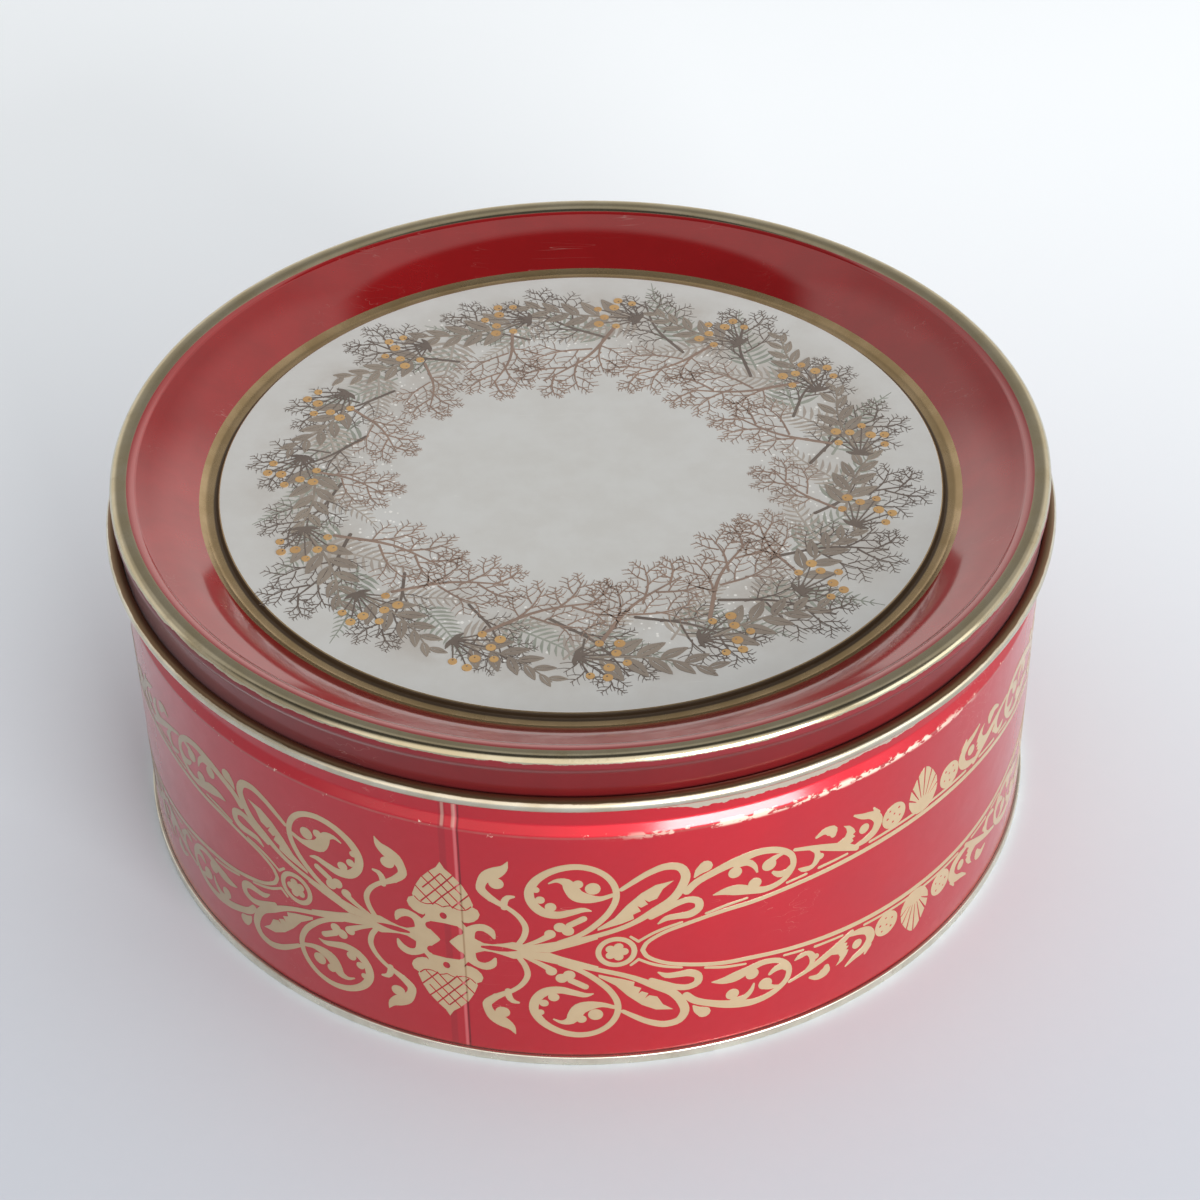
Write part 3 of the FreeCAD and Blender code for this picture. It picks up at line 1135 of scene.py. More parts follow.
@dataclass
class Wall:
    """Rolled wall with a curled mouth, a neck, a shoulder, a folded side seam and a hook at the base."""

    radius: float = 101.4
    neck: float = 100.3
    top: float = 86.25
    curl_radius: float = 0.9
    shoulder_top: float = 67.8
    shoulder_foot: float = 65.6
    hook: float = 101.6
    hook_bottom: float = 0.55
    hook_top: float = 2.1
    red_top: float = 75.0
    seam_azimuth: float = -104.7
    seam_bottom: float = 3.85
    seam_top: float = 64.6
    seam_line_width: float = 0.3
    seam_line_depth: float = 0.12
    fold_width: float = 4.0
    finishes: Sequence[Finish] = (WALL_RED, TINPLATE)

    def path(self) -> SheetPath:
        """Draw the wall's outer face from the mouth's curl to the end of the hook.

        Returns:
            The line.
        """
        path = SheetPath(back_side=-1)
        centre = (self.neck - self.curl_radius, self.top - self.curl_radius)
        path.curl(centre, self.curl_radius, 314.4, 0.0)
        path.runs([
            (self.neck, centre[1], 0.0), (self.neck, self.shoulder_top, 1.5),
            (self.radius, self.shoulder_foot, 1.5),
            (self.radius, self.seam_top + 0.01, 0.0), (self.radius, self.seam_top - 0.01, 0.0),
            (self.radius, self.seam_bottom + 0.01, 0.0), (self.radius, self.seam_bottom - 0.01, 0.0),
            (self.radius, self.hook_bottom, 0.07), (self.hook, self.hook_bottom, 0.07),
            (self.hook, self.hook_top, 0.0)])
        return path

    def zone(self, radius: float, height: float) -> int:
        """Return the number of the zone at a radius and a height on the drawn face."""
        painted = self.hook_top < height < self.red_top and radius > self.neck - 0.1
        return WallZone.RED.value if painted else WallZone.BARE.value

    def back_zone(self, radius: float, height: float) -> int:
        """Return the number of the zone on the inner face, which is bare all over."""
        return WallZone.BARE.value

    def stations(self) -> list[float]:
        """Space the wall's upright lines, close together at the edges of the seam's line and fold.

        Returns:
            Their angles, in radians.
        """
        seam = math.radians(self.seam_azimuth)
        edges = [0.0, -self.seam_line_width, -self.fold_width]
        close = [(edge + shift) / self.radius for edge in edges for shift in (-0.01, 0.01)]
        spread = [k - math.pi for k in even_stations() if all(abs(k - math.pi - c) > 0.002 for c in close)]
        return sorted(seam + turn for turn in spread + close)

    def press_seam(self, mesh: bpy.types.Mesh) -> None:
        """Sink the seam's line into the outer face and fold two more layers over the inner face.

        Args:
            mesh: The wall's shell.
        """
        spots = np.zeros(len(mesh.vertices) * 3)
        mesh.vertices.foreach_get("co", spots)
        spots = spots.reshape(-1, 3) / MM
        radius = np.hypot(spots[:, 0], spots[:, 1])
        angle = np.arctan2(spots[:, 1], spots[:, 0])
        arc = np.angle(np.exp(1j * (angle - math.radians(self.seam_azimuth)))) * self.radius
        tall = (spots[:, 2] > self.seam_bottom) & (spots[:, 2] < self.seam_top)
        outer = np.abs(radius - self.radius) < 0.05
        inner = np.abs(radius - self.radius + GAUGE) < 0.05
        sunk = tall & outer & (arc < 0) & (arc > -self.seam_line_width)
        folded = tall & inner & (arc < 0) & (arc > -self.fold_width)
        moved = radius - self.seam_line_depth * sunk - 2 * GAUGE * folded
        spots[:, :2] *= (moved / radius)[:, None]
        mesh.vertices.foreach_set("co", (spots * MM).ravel())
        mesh.update()

    def build(self) -> None:
        """Make the wall's shell."""
        stations = self.stations()
        shell = turned_sheet("wall_sheet", self.path(), self.finishes, self.zone, self.back_zone, stations)
        self.press_seam(shell)
        shell.set_sharp_from_angle(angle=SHARP)
        piece("wall_shell", shell, "tin_body", "wall_lacquer", "body_wall")


@dataclass
class Base:
    """Sunk bare disc whose edge is folded round the wall's hook."""

    lip: float = 101.45
    rim: float = 102.15
    chuck: float = 100.85
    seam_height: float = 2.4
    recess: float = 2.6
    finishes: Sequence[Finish] = (BASE_METAL,)

    def path(self) -> SheetPath:
        """Draw the base's exposed face from the lip to the middle of the disc.

        Returns:
            The line.
        """
        path = SheetPath(back_side=-1)
        path.runs([
            (self.lip, self.seam_height, 0.0), (self.rim, self.seam_height, 0.35), (self.rim, 0.0, 0.45),
            (self.chuck, 0.0, 0.45), (self.chuck, self.recess, 1.0), (0.0, self.recess, 0.0)])
        return path

    def zone(self, radius: float, height: float) -> int:
        """Return the number of the base's one zone."""
        return 0

    def build(self) -> None:
        """Make the base's shell."""
        shell = turned_sheet("base_sheet", self.path(), self.finishes, self.zone, self.zone, even_stations())
        piece("base_shell", shell, "tin_body", "bare_tinplate", "base_end")


def smooth_line(points: Sequence[Sequence[float]], step: float = 0.9, closed: bool = False) -> np.ndarray:
    """Draw a smooth line through points.

    Args:
        points: Points of any number of values each, of which the first two are a place.
        step: Longest distance between the points of the result.
        closed: Whether the line returns to its start.

    Returns:
        Points along the line.
    """
    knots = np.array(points, float)
    if closed:
        knots = np.vstack([knots[-1:], knots, knots[:2]])
    gaps = np.linalg.norm(np.diff(knots[:, :2], axis=0), axis=1)[:, None]
    slopes = np.diff(knots, axis=0) / gaps
    middle = (slopes[:-1] * gaps[1:] + slopes[1:] * gaps[:-1]) / (gaps[:-1] + gaps[1:])
    tangents = np.vstack([slopes[:1], middle, slopes[-1:]])
    drawn = []
    for i in range(1, len(knots) - 2) if closed else range(len(knots) - 1):
        parts = max(2, math.ceil(gaps[i][0] / step))
        t = (np.arange(parts) / parts)[:, None]
        drawn.append((1 + 2 * t) * (1 - t) ** 2 * knots[i] + t * (1 - t) ** 2 * gaps[i] * tangents[i]
                     + t * t * (3 - 2 * t) * knots[i + 1] + t * t * (t - 1) * gaps[i] * tangents[i + 1])
    if not closed:
        drawn.append(knots[-1:])
    return np.vstack(drawn)


class Drawing:
    """Flat ink drawing: strokes, dots and leaves that run together, and gaps that stay free of ink."""

    def __init__(self) -> None:
        """Start with a clean sheet."""
        self.spots: list[Point] = []
        self.faces: list[list[int]] = []
        self.is_gap: list[bool] = []

    def patch(self, outline: Iterable[Sequence[float]], gap: bool = False) -> None:
        """Ink one patch, or keep it free.

        Args:
            outline: Points round the patch.
            gap: Whether it stays free of ink.
        """
        corners = [(float(p[0]), float(p[1])) for p in outline]
        twice = sum(a[0] * b[1] - b[0] * a[1] for a, b in zip(corners, corners[1:] + corners[:1]))
        if abs(twice) < 1e-4:
            return
        if twice < 0:
            corners.reverse()
        first = len(self.spots)
        self.spots += corners
        self.faces.append(list(range(first, first + len(corners))))
        self.is_gap.append(gap)

    def stroke(self, *points: Sequence[float], gap: bool = False, step: float = 0.9) -> None:
        """Draw a stroke.

        Args:
            points: Places along its middle, each with half its width.
            gap: Whether it stays free of ink.
            step: Longest distance between the points of its edges.
        """
        line = smooth_line(points, step)
        along = np.gradient(line[:, :2], axis=0)
        along /= np.linalg.norm(along, axis=1)[:, None]
        half = np.maximum(line[:, 2:3], 0.04)
        aside = np.stack([-along[:, 1], along[:, 0]], 1) * half
        left, right = line[:, :2] + aside, line[:, :2] - aside
        for i in range(len(line) - 1):
            self.patch([right[i], right[i + 1], left[i + 1], left[i]], gap)
        for end in (0, -1):
            if half[end][0] > 0.2:
                self.dot(*line[end][:2], half[end][0], gap=gap, corners=10)

    def dot(self, x: float, y: float, radius: float, other: float | None = None, gap: bool = False,
            corners: int = 18) -> None:
        """Draw a round or an oval dot.

        Args:
            x: Its middle across.
            y: Its middle upwards.
            radius: Its radius.
            other: Its radius upwards, where that differs.
            gap: Whether it stays free of ink.
            corners: How many corners it is drawn with.
        """
        turns = [2 * math.pi * k / corners for k in range(corners)]
        tall = radius if other is None else other
        self.patch([(x + radius * math.cos(a), y + tall * math.sin(a)) for a in turns], gap)

    def leaf(self, *outline: Sequence[float], step: float = 0.9) -> None:
        """Ink a leaf with a smooth outline."""
        self.patch(smooth_line(outline, step, closed=True))

    def mesh(self, name: str, window: tuple[float, float, float, float] | None = None,
             across: float = 1.0) -> bpy.types.Mesh:
        """Run the ink together into one flat mesh.

        Args:
            name: The mesh's name.
            window: Lowest and highest x and y of the ink that is kept, or None for all.
            across: Scale of x.

        Returns:
            The flat mesh, facing up.
        """
        faces = list(self.faces)
        spots = list(self.spots)
        if window:
            low_x, high_x, low_y, high_y = window
            faces.append(list(range(len(spots), len(spots) + 4)))
            spots += [(low_x, low_y), (high_x, low_y), (high_x, high_y), (low_x, high_y)]
        found = delaunay_2d_cdt([Vector(p) for p in spots], [], faces, 1, 0.004)
        corners, _, triangles, _, _, sources = found
        kept = []
        for triangle, owners in zip(triangles, sources):
            inside = window is None or len(self.faces) in owners
            drawn = [owner for owner in owners if owner < len(self.faces)]
            if inside and drawn and not any(self.is_gap[owner] for owner in drawn):
                kept.append(triangle)
        used = sorted({corner for triangle in kept for corner in triangle})
        number = {corner: i for i, corner in enumerate(used)}
        flat = [(corners[c].x * across * MM, corners[c].y * MM, 0.0) for c in used]
        return mesh_of(name, flat, faces=[[number[c] for c in triangle] for triangle in kept])


def thick_ink(graph: Graph, flat: Socket, depth: object) -> Socket:
    """Give flat ink a thickness.

    Args:
        graph: The tree's graph.
        flat: Flat ink, facing up.
        depth: Thickness of the ink.

    Returns:
        Closed ink that stands on the flat one.
    """
    raised = graph.out("GeometryNodeExtrudeMesh", {
        "Mesh": flat, "Offset": (0.0, 0.0, 1.0), "Offset Scale": depth, "Individual": False})
    under = graph.out("GeometryNodeFlipFaces", {0: flat})
    both = graph.node("GeometryNodeJoinGeometry")
    graph.tree.links.new(under, both.inputs[0])
    graph.tree.links.new(raised, both.inputs[0])
    return graph.out("GeometryNodeMergeByDistance", {"Geometry": both.outputs[0], "Distance": 0.1 * WELD})


def end_in_ink(graph: Graph, geometry: Socket, ink: Finish) -> None:
    """End a tree in plain geometry that is all in one ink.

    Args:
        graph: The tree's graph.
        geometry: What the tree has made.
        ink: The ink.
    """
    plain = graph.out("GeometryNodeRealizeInstances", {0: geometry})
    inked = graph.out("GeometryNodeSetMaterial", {"Geometry": plain, "Material": ink.material()})
    graph.node("NodeGroupOutput", {0: inked})


def wrapped_print_tree(ink: Finish) -> Tree:
    """Build the tree that mirrors a quarter of an ornament, repeats it and wraps it round the wall.

    Args:
        ink: The ink.

    Returns:
        The tree.
    """
    tree = bpy.data.node_groups.new("wrapped_print", "GeometryNodeTree")
    sizes = ("Radius", "Start angle", "Middle height", "Sunk", "Ink depth")
    inputs = {"Quarter": "Geometry", "Repeats": "Int"} | dict.fromkeys(sizes, "Float")
    graph, given = open_tree(tree, inputs, "Geometry")
    whole = graph.node("GeometryNodeJoinGeometry")
    for across, up in ((1.0, 1.0), (-1.0, 1.0), (1.0, -1.0), (-1.0, -1.0)):
        copy = graph.out("GeometryNodeTransform", {"Geometry": given["Quarter"], "Scale": (across, up, 1.0)})
        if across * up < 0:
            copy = graph.out("GeometryNodeFlipFaces", {0: copy})
        tree.links.new(copy, whole.inputs[0])
    motif = graph.out("GeometryNodeMergeByDistance", {"Geometry": whole.outputs[0], "Distance": 2 * WELD})
    round_tin = graph.times(given["Radius"], 2 * math.pi)
    pitch = graph.out("ShaderNodeCombineXYZ", {0: graph.math("DIVIDE", round_tin, given["Repeats"])})
    places = graph.out("GeometryNodeMeshLine", {"Count": given["Repeats"], "Offset": pitch})
    strip = graph.out("GeometryNodeInstanceOnPoints", {"Points": places, "Instance": motif})
    strip = thick_ink(graph, graph.out("GeometryNodeRealizeInstances", {0: strip}), given["Ink depth"])
    flat = graph.parts(graph.out("GeometryNodeInputPosition"))
    angle = graph.plus(graph.math("DIVIDE", flat[0], given["Radius"]), given["Start angle"])
    radius = graph.minus(graph.plus(given["Radius"], flat[2]), given["Sunk"])
    wrapped = graph.polar(radius, angle, graph.plus(flat[1], given["Middle height"]))
    bent = graph.out("GeometryNodeSetPosition", {"Geometry": strip, "Position": wrapped})
    bent = graph.out("GeometryNodeMergeByDistance", {"Geometry": bent, "Distance": 2 * WELD})
    end_in_ink(graph, bent, ink)
    return tree


@dataclass
class WallPrint:
    """Scrollwork printed round the wall: one quarter is drawn, and mirrored and repeated round the tin.

    The quarter is drawn as arc length from the side seam and height above the floor.
    """

    repeats: int = 3
    cone_axis: float = -4.2
    shell_axis: float = 104.4
    midline: float = 33.2
    highest: float = 62.0
    sunk: float = 0.06
    ink_depth: float = 0.11
    ink: Finish = CREAM_INK

    def draw_cone(self, pen: Drawing) -> None:
        """Draw half of the scaled cone, its cup and the column under it.

        Args:
            pen: The drawing.
        """
        axis = self.cone_axis
        pen.patch([(axis, 55.6), (-3.3, 53.9), (-1.8, 52.5), (0.2, 50.1), (1.5, 47.6), (2.4, 44.9),
                   (1.9, 43.2), (0.4, 42.6), (axis, 43.2)])
        pen.patch([(axis, 45.0), (0.5, 43.2), (2.3, 44.2), (3.3, 43.6), (3.7, 42.4), (3.3, 41.2),
                   (2.4, 40.2), (1.2, 39.6), (0.2, 39.5), (-0.4, 40.2), (-0.6, 41.5), (axis, 41.5)])
        pen.patch([(-3.2, 33.2), (-2.8, 33.8), (-1.3, 35.4), (-0.7, 37.2), (-1.2, 38.1), (axis, 38.3),
                   (axis, 44.0), (-0.6, 44.0), (-0.4, 41.5), (-0.2, 39.4), (0.5, 38.4), (1.2, 37.6),
                   (2.2, 36.4), (2.3, 35.3), (3.0, 34.9), (4.3, 34.3), (6.0, 34.3), (8.0, 34.8),
                   (10.3, 35.6), (12.0, 35.4), (13.2, 34.8), (13.2, 33.2)])
        pen.patch([(12.5, 33.2), (18.0, 33.25), (20.5, 34.3), (24.0, 35.6), (28.0, 37.2), (28.0, 38.4),
                   (24.2, 37.4), (20.0, 36.2), (16.0, 35.0), (12.5, 34.7)])
        pen.dot(axis, 40.4, 0.8, 0.95, gap=True)
        pen.dot(-1.2, 36.7, 1.15, gap=True)
        for start, end in (((axis, 52.4), (0.0, 47.3)), ((axis, 49.1), (0.6, 43.3)),
                           ((axis, 45.9), (-1.9, 43.0)), ((axis, 49.1), (-1.4, 52.6)),
                           ((axis, 45.9), (0.4, 51.0)), ((-2.2, 43.1), (1.9, 47.9))):
            pen.stroke((*start, 0.19), (*end, 0.19), gap=True, step=2.5)
        pen.stroke((axis, 42.9, 0.16), (-2.6, 43.6, 0.16), (-0.9, 42.9, 0.16), (0.7, 43.1, 0.16),
                   (2.0, 44.4, 0.16), gap=True)

    def draw_scrolls(self, pen: Drawing) -> None:
        """Draw the volute, the leaf, the round scroll and the bud beside the cone.

        Args:
            pen: The drawing.
        """
        pen.stroke((0.8, 33.5, 1.6), (0.9, 36.2, 1.5), (2.3, 38.3, 0.9), (4.4, 38.8, 1.0),
                   (5.9, 37.8, 0.9), (6.5, 36.2, 0.3))
        pen.stroke((11.5, 35.0, 0.6), (12.8, 37.5, 0.65), (13.2, 40.0, 0.65), (12.2, 42.6, 0.6),
                   (10.0, 45.0, 0.55), (7.5, 46.6, 0.7), (5.5, 48.2, 0.9), (4.2, 50.0, 1.0),
                   (4.4, 51.5, 1.0), (5.6, 53.6, 1.4), (7.5, 54.9, 1.5), (9.2, 56.3, 0.9),
                   (10.1, 58.3, 0.05))
        pen.dot(7.5, 51.9, 1.6, 1.5)
        pen.dot(6.2, 47.4, 0.8)
        pen.stroke((8.9, 45.3, 0.7), (9.0, 47.0, 0.75), (9.8, 48.3, 0.6), (11.0, 48.6, 0.3))
        pen.stroke((20.0, 36.3, 0.5), (24.0, 38.2, 0.6), (28.0, 41.6, 0.7), (30.6, 45.0, 0.7),
                   (31.9, 48.5, 0.7), (31.8, 51.3, 0.7), (30.5, 54.2, 0.7), (27.8, 56.6, 0.7),
                   (24.5, 57.6, 0.75), (21.0, 57.2, 0.8), (17.8, 55.6, 0.85), (15.4, 53.2, 0.95),
                   (14.2, 50.2, 1.0), (14.7, 47.3, 1.05), (16.8, 44.8, 1.1), (19.8, 44.1, 1.0),
                   (22.8, 44.9, 0.8), (25.5, 45.6, 0.55), (26.9, 45.2, 0.1))
        for x, y, radius in ((15.6, 51.0, 0.8), (16.4, 48.2, 1.0), (18.5, 46.3, 1.2)):
            pen.dot(x, y, radius)
        pen.stroke((31.2, 49.5, 0.5), (28.5, 48.6, 0.7), (26.0, 48.8, 1.3), (24.0, 49.6, 1.6),
                   (22.8, 51.5, 1.5), (21.8, 53.3, 1.1), (20.0, 53.8, 0.5), (18.2, 52.9, 0.15))
        pen.dot(24.2, 52.8, 1.1)
        pen.dot(27.2, 51.5, 1.6)
        pen.stroke((12.5, 34.8, 0.3), (15.3, 36.2, 0.55), (18.0, 38.0, 0.8))
        for x, y, radius in ((18.2, 38.6, 1.2), (20.3, 40.6, 1.3), (21.9, 39.6, 1.3)):
            pen.dot(x, y, radius)
        pen.stroke((22.2, 41.2, 0.75), (25.2, 43.1, 0.75))

    def draw_loop(self, pen: Drawing) -> None:
        """Draw the branch with its loop, the feathered leaf in it and the crook below.

        Args:
            pen: The drawing.
        """
        pen.stroke((13.0, 34.2, 0.6), (20.0, 36.0, 0.6), (28.0, 38.2, 0.6), (35.0, 41.0, 0.65),
                   (40.0, 44.3, 0.9), (43.5, 46.8, 1.0), (45.5, 50.0, 1.0), (46.2, 53.0, 1.0),
                   (45.0, 55.4, 0.95), (42.4, 56.1, 0.9), (38.5, 54.8, 0.75), (35.5, 52.8, 0.65),
                   (33.0, 50.9, 0.5))
        pen.patch([(28.0, 39.6), (33.0, 41.3), (35.5, 42.4), (35.3, 43.6), (36.9, 44.4), (36.2, 46.0),
                   (37.0, 45.4), (38.4, 46.2), (37.6, 47.6), (38.6, 46.8), (40.3, 47.5), (41.5, 50.0),
                   (43.7, 51.9), (40.0, 51.3), (37.0, 49.4), (34.0, 46.3), (31.5, 43.0), (28.0, 40.3)])
        pen.stroke((40.4, 40.2, 0.15), (42.2, 41.5, 0.7), (44.8, 41.7, 0.8), (47.3, 41.8, 1.0),
                   (49.0, 43.0, 0.9), (48.9, 45.0, 0.9), (47.0, 45.9, 0.8), (44.5, 45.4, 0.8),
                   (42.0, 44.0, 0.7), (39.0, 42.3, 0.6))

    def draw_spiral(self, pen: Drawing) -> None:
        """Draw the long spiral with its leaves, and the bud above it.

        Args:
            pen: The drawing.
        """
        pen.stroke((46.5, 48.3, 0.9), (48.0, 50.0, 0.9), (52.0, 52.2, 0.9), (57.0, 54.0, 1.1),
                   (62.0, 54.9, 0.9), (66.3, 53.8, 0.8), (69.4, 51.0, 0.7), (69.7, 48.0, 0.7),
                   (67.8, 45.2, 0.7), (63.5, 43.9, 0.8), (60.0, 44.9, 1.1), (57.0, 45.9, 1.4),
                   (54.5, 46.2, 0.9), (52.0, 45.9, 0.1))
        for x, y, radius in ((56.7, 50.9, 1.5), (61.1, 46.4, 1.5), (64.2, 50.5, 1.6)):
            pen.dot(x, y, radius)
        pen.stroke((57.0, 53.0, 0.9), (59.5, 52.8, 0.8), (61.0, 51.2, 0.55), (61.6, 49.3, 0.2))
        pen.stroke((68.0, 52.5, 0.1), (65.5, 52.0, 0.7), (64.0, 50.8, 1.2))
        pen.stroke((65.2, 48.0, 0.4), (66.5, 47.0, 0.8), (68.5, 47.0, 0.9), (69.5, 48.0, 0.8))
        pen.stroke((48.0, 51.8, 0.15), (48.9, 53.2, 0.9), (50.4, 54.4, 1.5))

    def draw_sprays(self, pen: Drawing) -> None:
        """Draw the tapering leaf, the comma, the flame leaf and the crescent beyond the spiral.

        Args:
            pen: The drawing.
        """
        pen.stroke((70.0, 52.4, 0.4), (74.0, 51.2, 0.6), (78.0, 49.5, 0.9), (82.0, 47.6, 1.0),
                   (85.5, 45.4, 0.6))
        pen.stroke((74.0, 51.0, 0.5), (75.3, 49.5, 0.6), (75.5, 47.6, 0.8), (74.3, 45.8, 0.6),
                   (72.0, 46.0, 0.6), (71.0, 46.6, 0.1))
        pen.dot(76.3, 47.8, 0.8)
        pen.stroke((75.1, 53.6, 0.35), (77.2, 54.4, 0.9), (79.0, 53.4, 1.3), (79.2, 52.4, 0.7))
        pen.patch([(78.5, 49.3), (80.6, 49.6), (82.2, 50.3), (82.7, 51.4), (82.4, 52.6), (81.7, 53.6),
                   (83.3, 52.9), (84.4, 51.6), (84.9, 50.4), (84.2, 50.0), (84.9, 49.2), (84.1, 48.9),
                   (84.5, 48.1), (83.4, 47.6), (82.0, 47.4)])
        pen.dot(87.2, 50.0, 1.3)
        pen.stroke((84.2, 55.2, 0.2), (86.5, 53.8, 0.7), (89.3, 52.6, 1.0), (91.0, 50.3, 1.2),
                   (90.2, 47.9, 1.1), (87.8, 46.6, 0.9), (85.2, 46.2, 0.5))
        pen.stroke((89.5, 54.6, 0.2), (90.6, 52.5, 0.8))

    def draw_frame(self, pen: Drawing) -> None:
        """Draw the rosette, the line round the bare field, its dashes, the roundel and the shell.

        Args:
            pen: The drawing.
        """
        middle = (31.8, self.midline)
        turns = [math.radians(k * 20) for k in range(19)]
        pen.stroke(*[(middle[0] + 3.75 * math.cos(a), middle[1] + 3.75 * math.sin(a), 0.6) for a in turns])
        for degrees in (0, 72, 144, 216, 288):
            turn = math.radians(degrees)
            pen.dot(middle[0] + 1.55 * math.cos(turn), middle[1] + 1.55 * math.sin(turn), 1.0)
        pen.dot(*middle, 0.9)
        pen.stroke((37.2, 33.1, 0.5), (38.0, 35.0, 0.5), (39.8, 36.5, 0.45), (42.5, 37.9, 0.45),
                   (46.0, 39.0, 0.5), (50.0, 40.0, 0.5), (55.0, 40.9, 0.55), (60.0, 41.3, 0.55),
                   (70.0, 42.4, 0.55), (80.0, 43.2, 0.6), (90.0, 43.7, 0.6), (100.0, 43.9, 0.6),
                   (106.0, 43.9, 0.6), step=1.6)
        pen.stroke((34.8, 37.3, 0.3), (36.4, 35.8, 0.35))
        for dash in (((36.4, 35.8, 0.3), (39.0, 37.5, 0.35), (42.0, 38.8, 0.35), (45.5, 39.8, 0.25)),
                     ((50.6, 41.1, 0.3), (55.0, 42.2, 0.35), (59.5, 42.8, 0.25)),
                     ((68.5, 43.8, 0.3), (73.0, 44.3, 0.3)), ((76.0, 44.7, 0.35), (83.0, 45.1, 0.3)),
                     ((89.0, 45.3, 0.35), (95.0, 45.5, 0.35), (106.0, 45.6, 0.35))):
            pen.stroke(*dash, step=1.6)
        pen.dot(95.5, 49.0, 3.3, corners=28)
        for x, y, radius in ((93.7, 48.8, 0.35), (94.3, 50.7, 0.3), (96.9, 50.5, 0.35),
                             (97.2, 48.2, 0.3), (95.3, 47.3, 0.3), (95.6, 49.4, 0.3)):
            pen.dot(x, y, radius, gap=True, corners=8)
        axis = self.shell_axis
        pen.patch([(axis, 44.6), (axis, 57.2), (103.2, 56.4), (101.8, 54.7), (100.3, 52.0), (99.9, 49.5),
                   (100.1, 48.0), (101.0, 46.3), (102.6, 44.9)])
        for start, end in (((102.3, 48.4), (100.1, 50.0)), ((103.0, 48.6), (100.7, 52.6)),
                           ((103.7, 48.8), (102.2, 55.2)), ((axis, 49.0), (axis, 57.4))):
            pen.stroke((*start, 0.1), (*end, 0.26), gap=True, step=2.5)

    def build(self) -> None:
        """Draw the quarter, wrap the whole print round the wall and round its shading to the wall."""
        pen = Drawing()
        for draw in (self.draw_cone, self.draw_scrolls, self.draw_loop, self.draw_spiral, self.draw_sprays,
                     self.draw_frame):
            draw(pen)
        pen.spots = [(x - self.cone_axis, y - self.midline) for x, y in pen.spots]
        half = self.shell_axis - self.cone_axis
        half_pitch = math.pi * Wall.radius / self.repeats
        quarter = pen.mesh("ornament", (0.0, half, 0.0, self.highest - self.midline), half_pitch / half)
        mesh = evaluated(quarter, wrapped_print_tree(self.ink), {
            "Repeats": self.repeats, "Radius": Wall.radius * MM, "Sunk": self.sunk * MM,
            "Start angle": math.radians(Wall.seam_azimuth) + self.cone_axis / Wall.radius,
            "Middle height": self.midline * MM, "Ink depth": self.ink_depth * MM})
        mesh.shade_smooth()
        spots = np.zeros(len(mesh.vertices) * 3)
        mesh.vertices.foreach_get("co", spots)
        out = spots.reshape(-1, 3) * (1, 1, 0)
        mesh.normals_split_custom_set_from_vertices(out / np.linalg.norm(out, axis=1)[:, None])
        piece("wall_print", mesh, "tin_body", "wall_lacquer")


BERRY_PLACES = ((-0.75, 7.0), (-0.45, 9.6), (-0.15, 8.0), (0.12, 11.0), (0.42, 8.6), (0.72, 10.0),
                (0.98, 6.4))


def heads_to(start: Point, heading: float, length: float) -> Point:
    """Return the place at a heading, in radians, and a distance from another."""
    return start[0] + length * math.cos(heading), start[1] + length * math.sin(heading)


def draw_frond(pen: Drawing) -> None:
    """Draw a frond: a curved stem with pairs of narrow leaflets that shorten to the tip.

    Args:
        pen: The drawing.
    """
    stem = smooth_line([(0.0, 0.0, 0.3), (9.0, 1.3, 0.25), (18.0, 1.7, 0.2), (26.0, 0.4, 0.08)], 1.2)
    pen.stroke(*stem)
    for k in range(13):
        x = 2.0 + 1.75 * k
        foot = (x, float(np.interp(x, stem[:, 0], stem[:, 1])))
        reach = 6.6 * (1 - k / 14) ** 0.8
        for side in (-1, 1):
            heading = side * (1.05 - 0.02 * k)
            bow = heads_to(foot, heading + side * 0.12, reach * 0.5)
            tip = heads_to(foot, heading, reach)
            pen.stroke((*foot, 0.1), (*bow, 0.11 * reach ** 0.8), (*tip, 0.04), step=1.4)


def draw_branch(pen: Drawing, foot: Point, heading: float, length: float, width: float, depth: int) -> None:
    """Draw a bare branch and the finer ones that fork from it.

    Args:
        pen: The drawing.
        foot: Where the branch starts.
        heading: Its direction, in radians.
        length: Its length.
        width: Half its width at the foot.
        depth: How many forks down it is, from 1 to 4.
    """
    bend = 0.16 if depth % 2 else -0.16
    middle = heads_to(foot, heading + bend, 0.5 * length)
    end = heads_to(foot, heading, length)
    pen.stroke((*foot, width), (*middle, width * 0.75), (*end, width * 0.3), step=2.2)
    if depth == 4:
        return
    forks = ((0.22, 1, 0.5), (0.4, -1, 0.52), (0.58, 1, 0.45), (0.74, -1, 0.4), (0.88, 1, 0.3))
    for share, side, reach in forks:
        fork = heads_to(foot, heading + bend * (1 - share), share * length)
        turn = side * (0.55 + 0.1 * depth)
        draw_branch(pen, fork, heading + turn, length * reach, width * 0.6, depth + 1)


def draw_twig(pen: Drawing) -> None:
    """Draw a bare twig that forks again and again into finer branches."""
    draw_branch(pen, (0.0, 0.0), 0.0, 25.0, 0.42, 1)


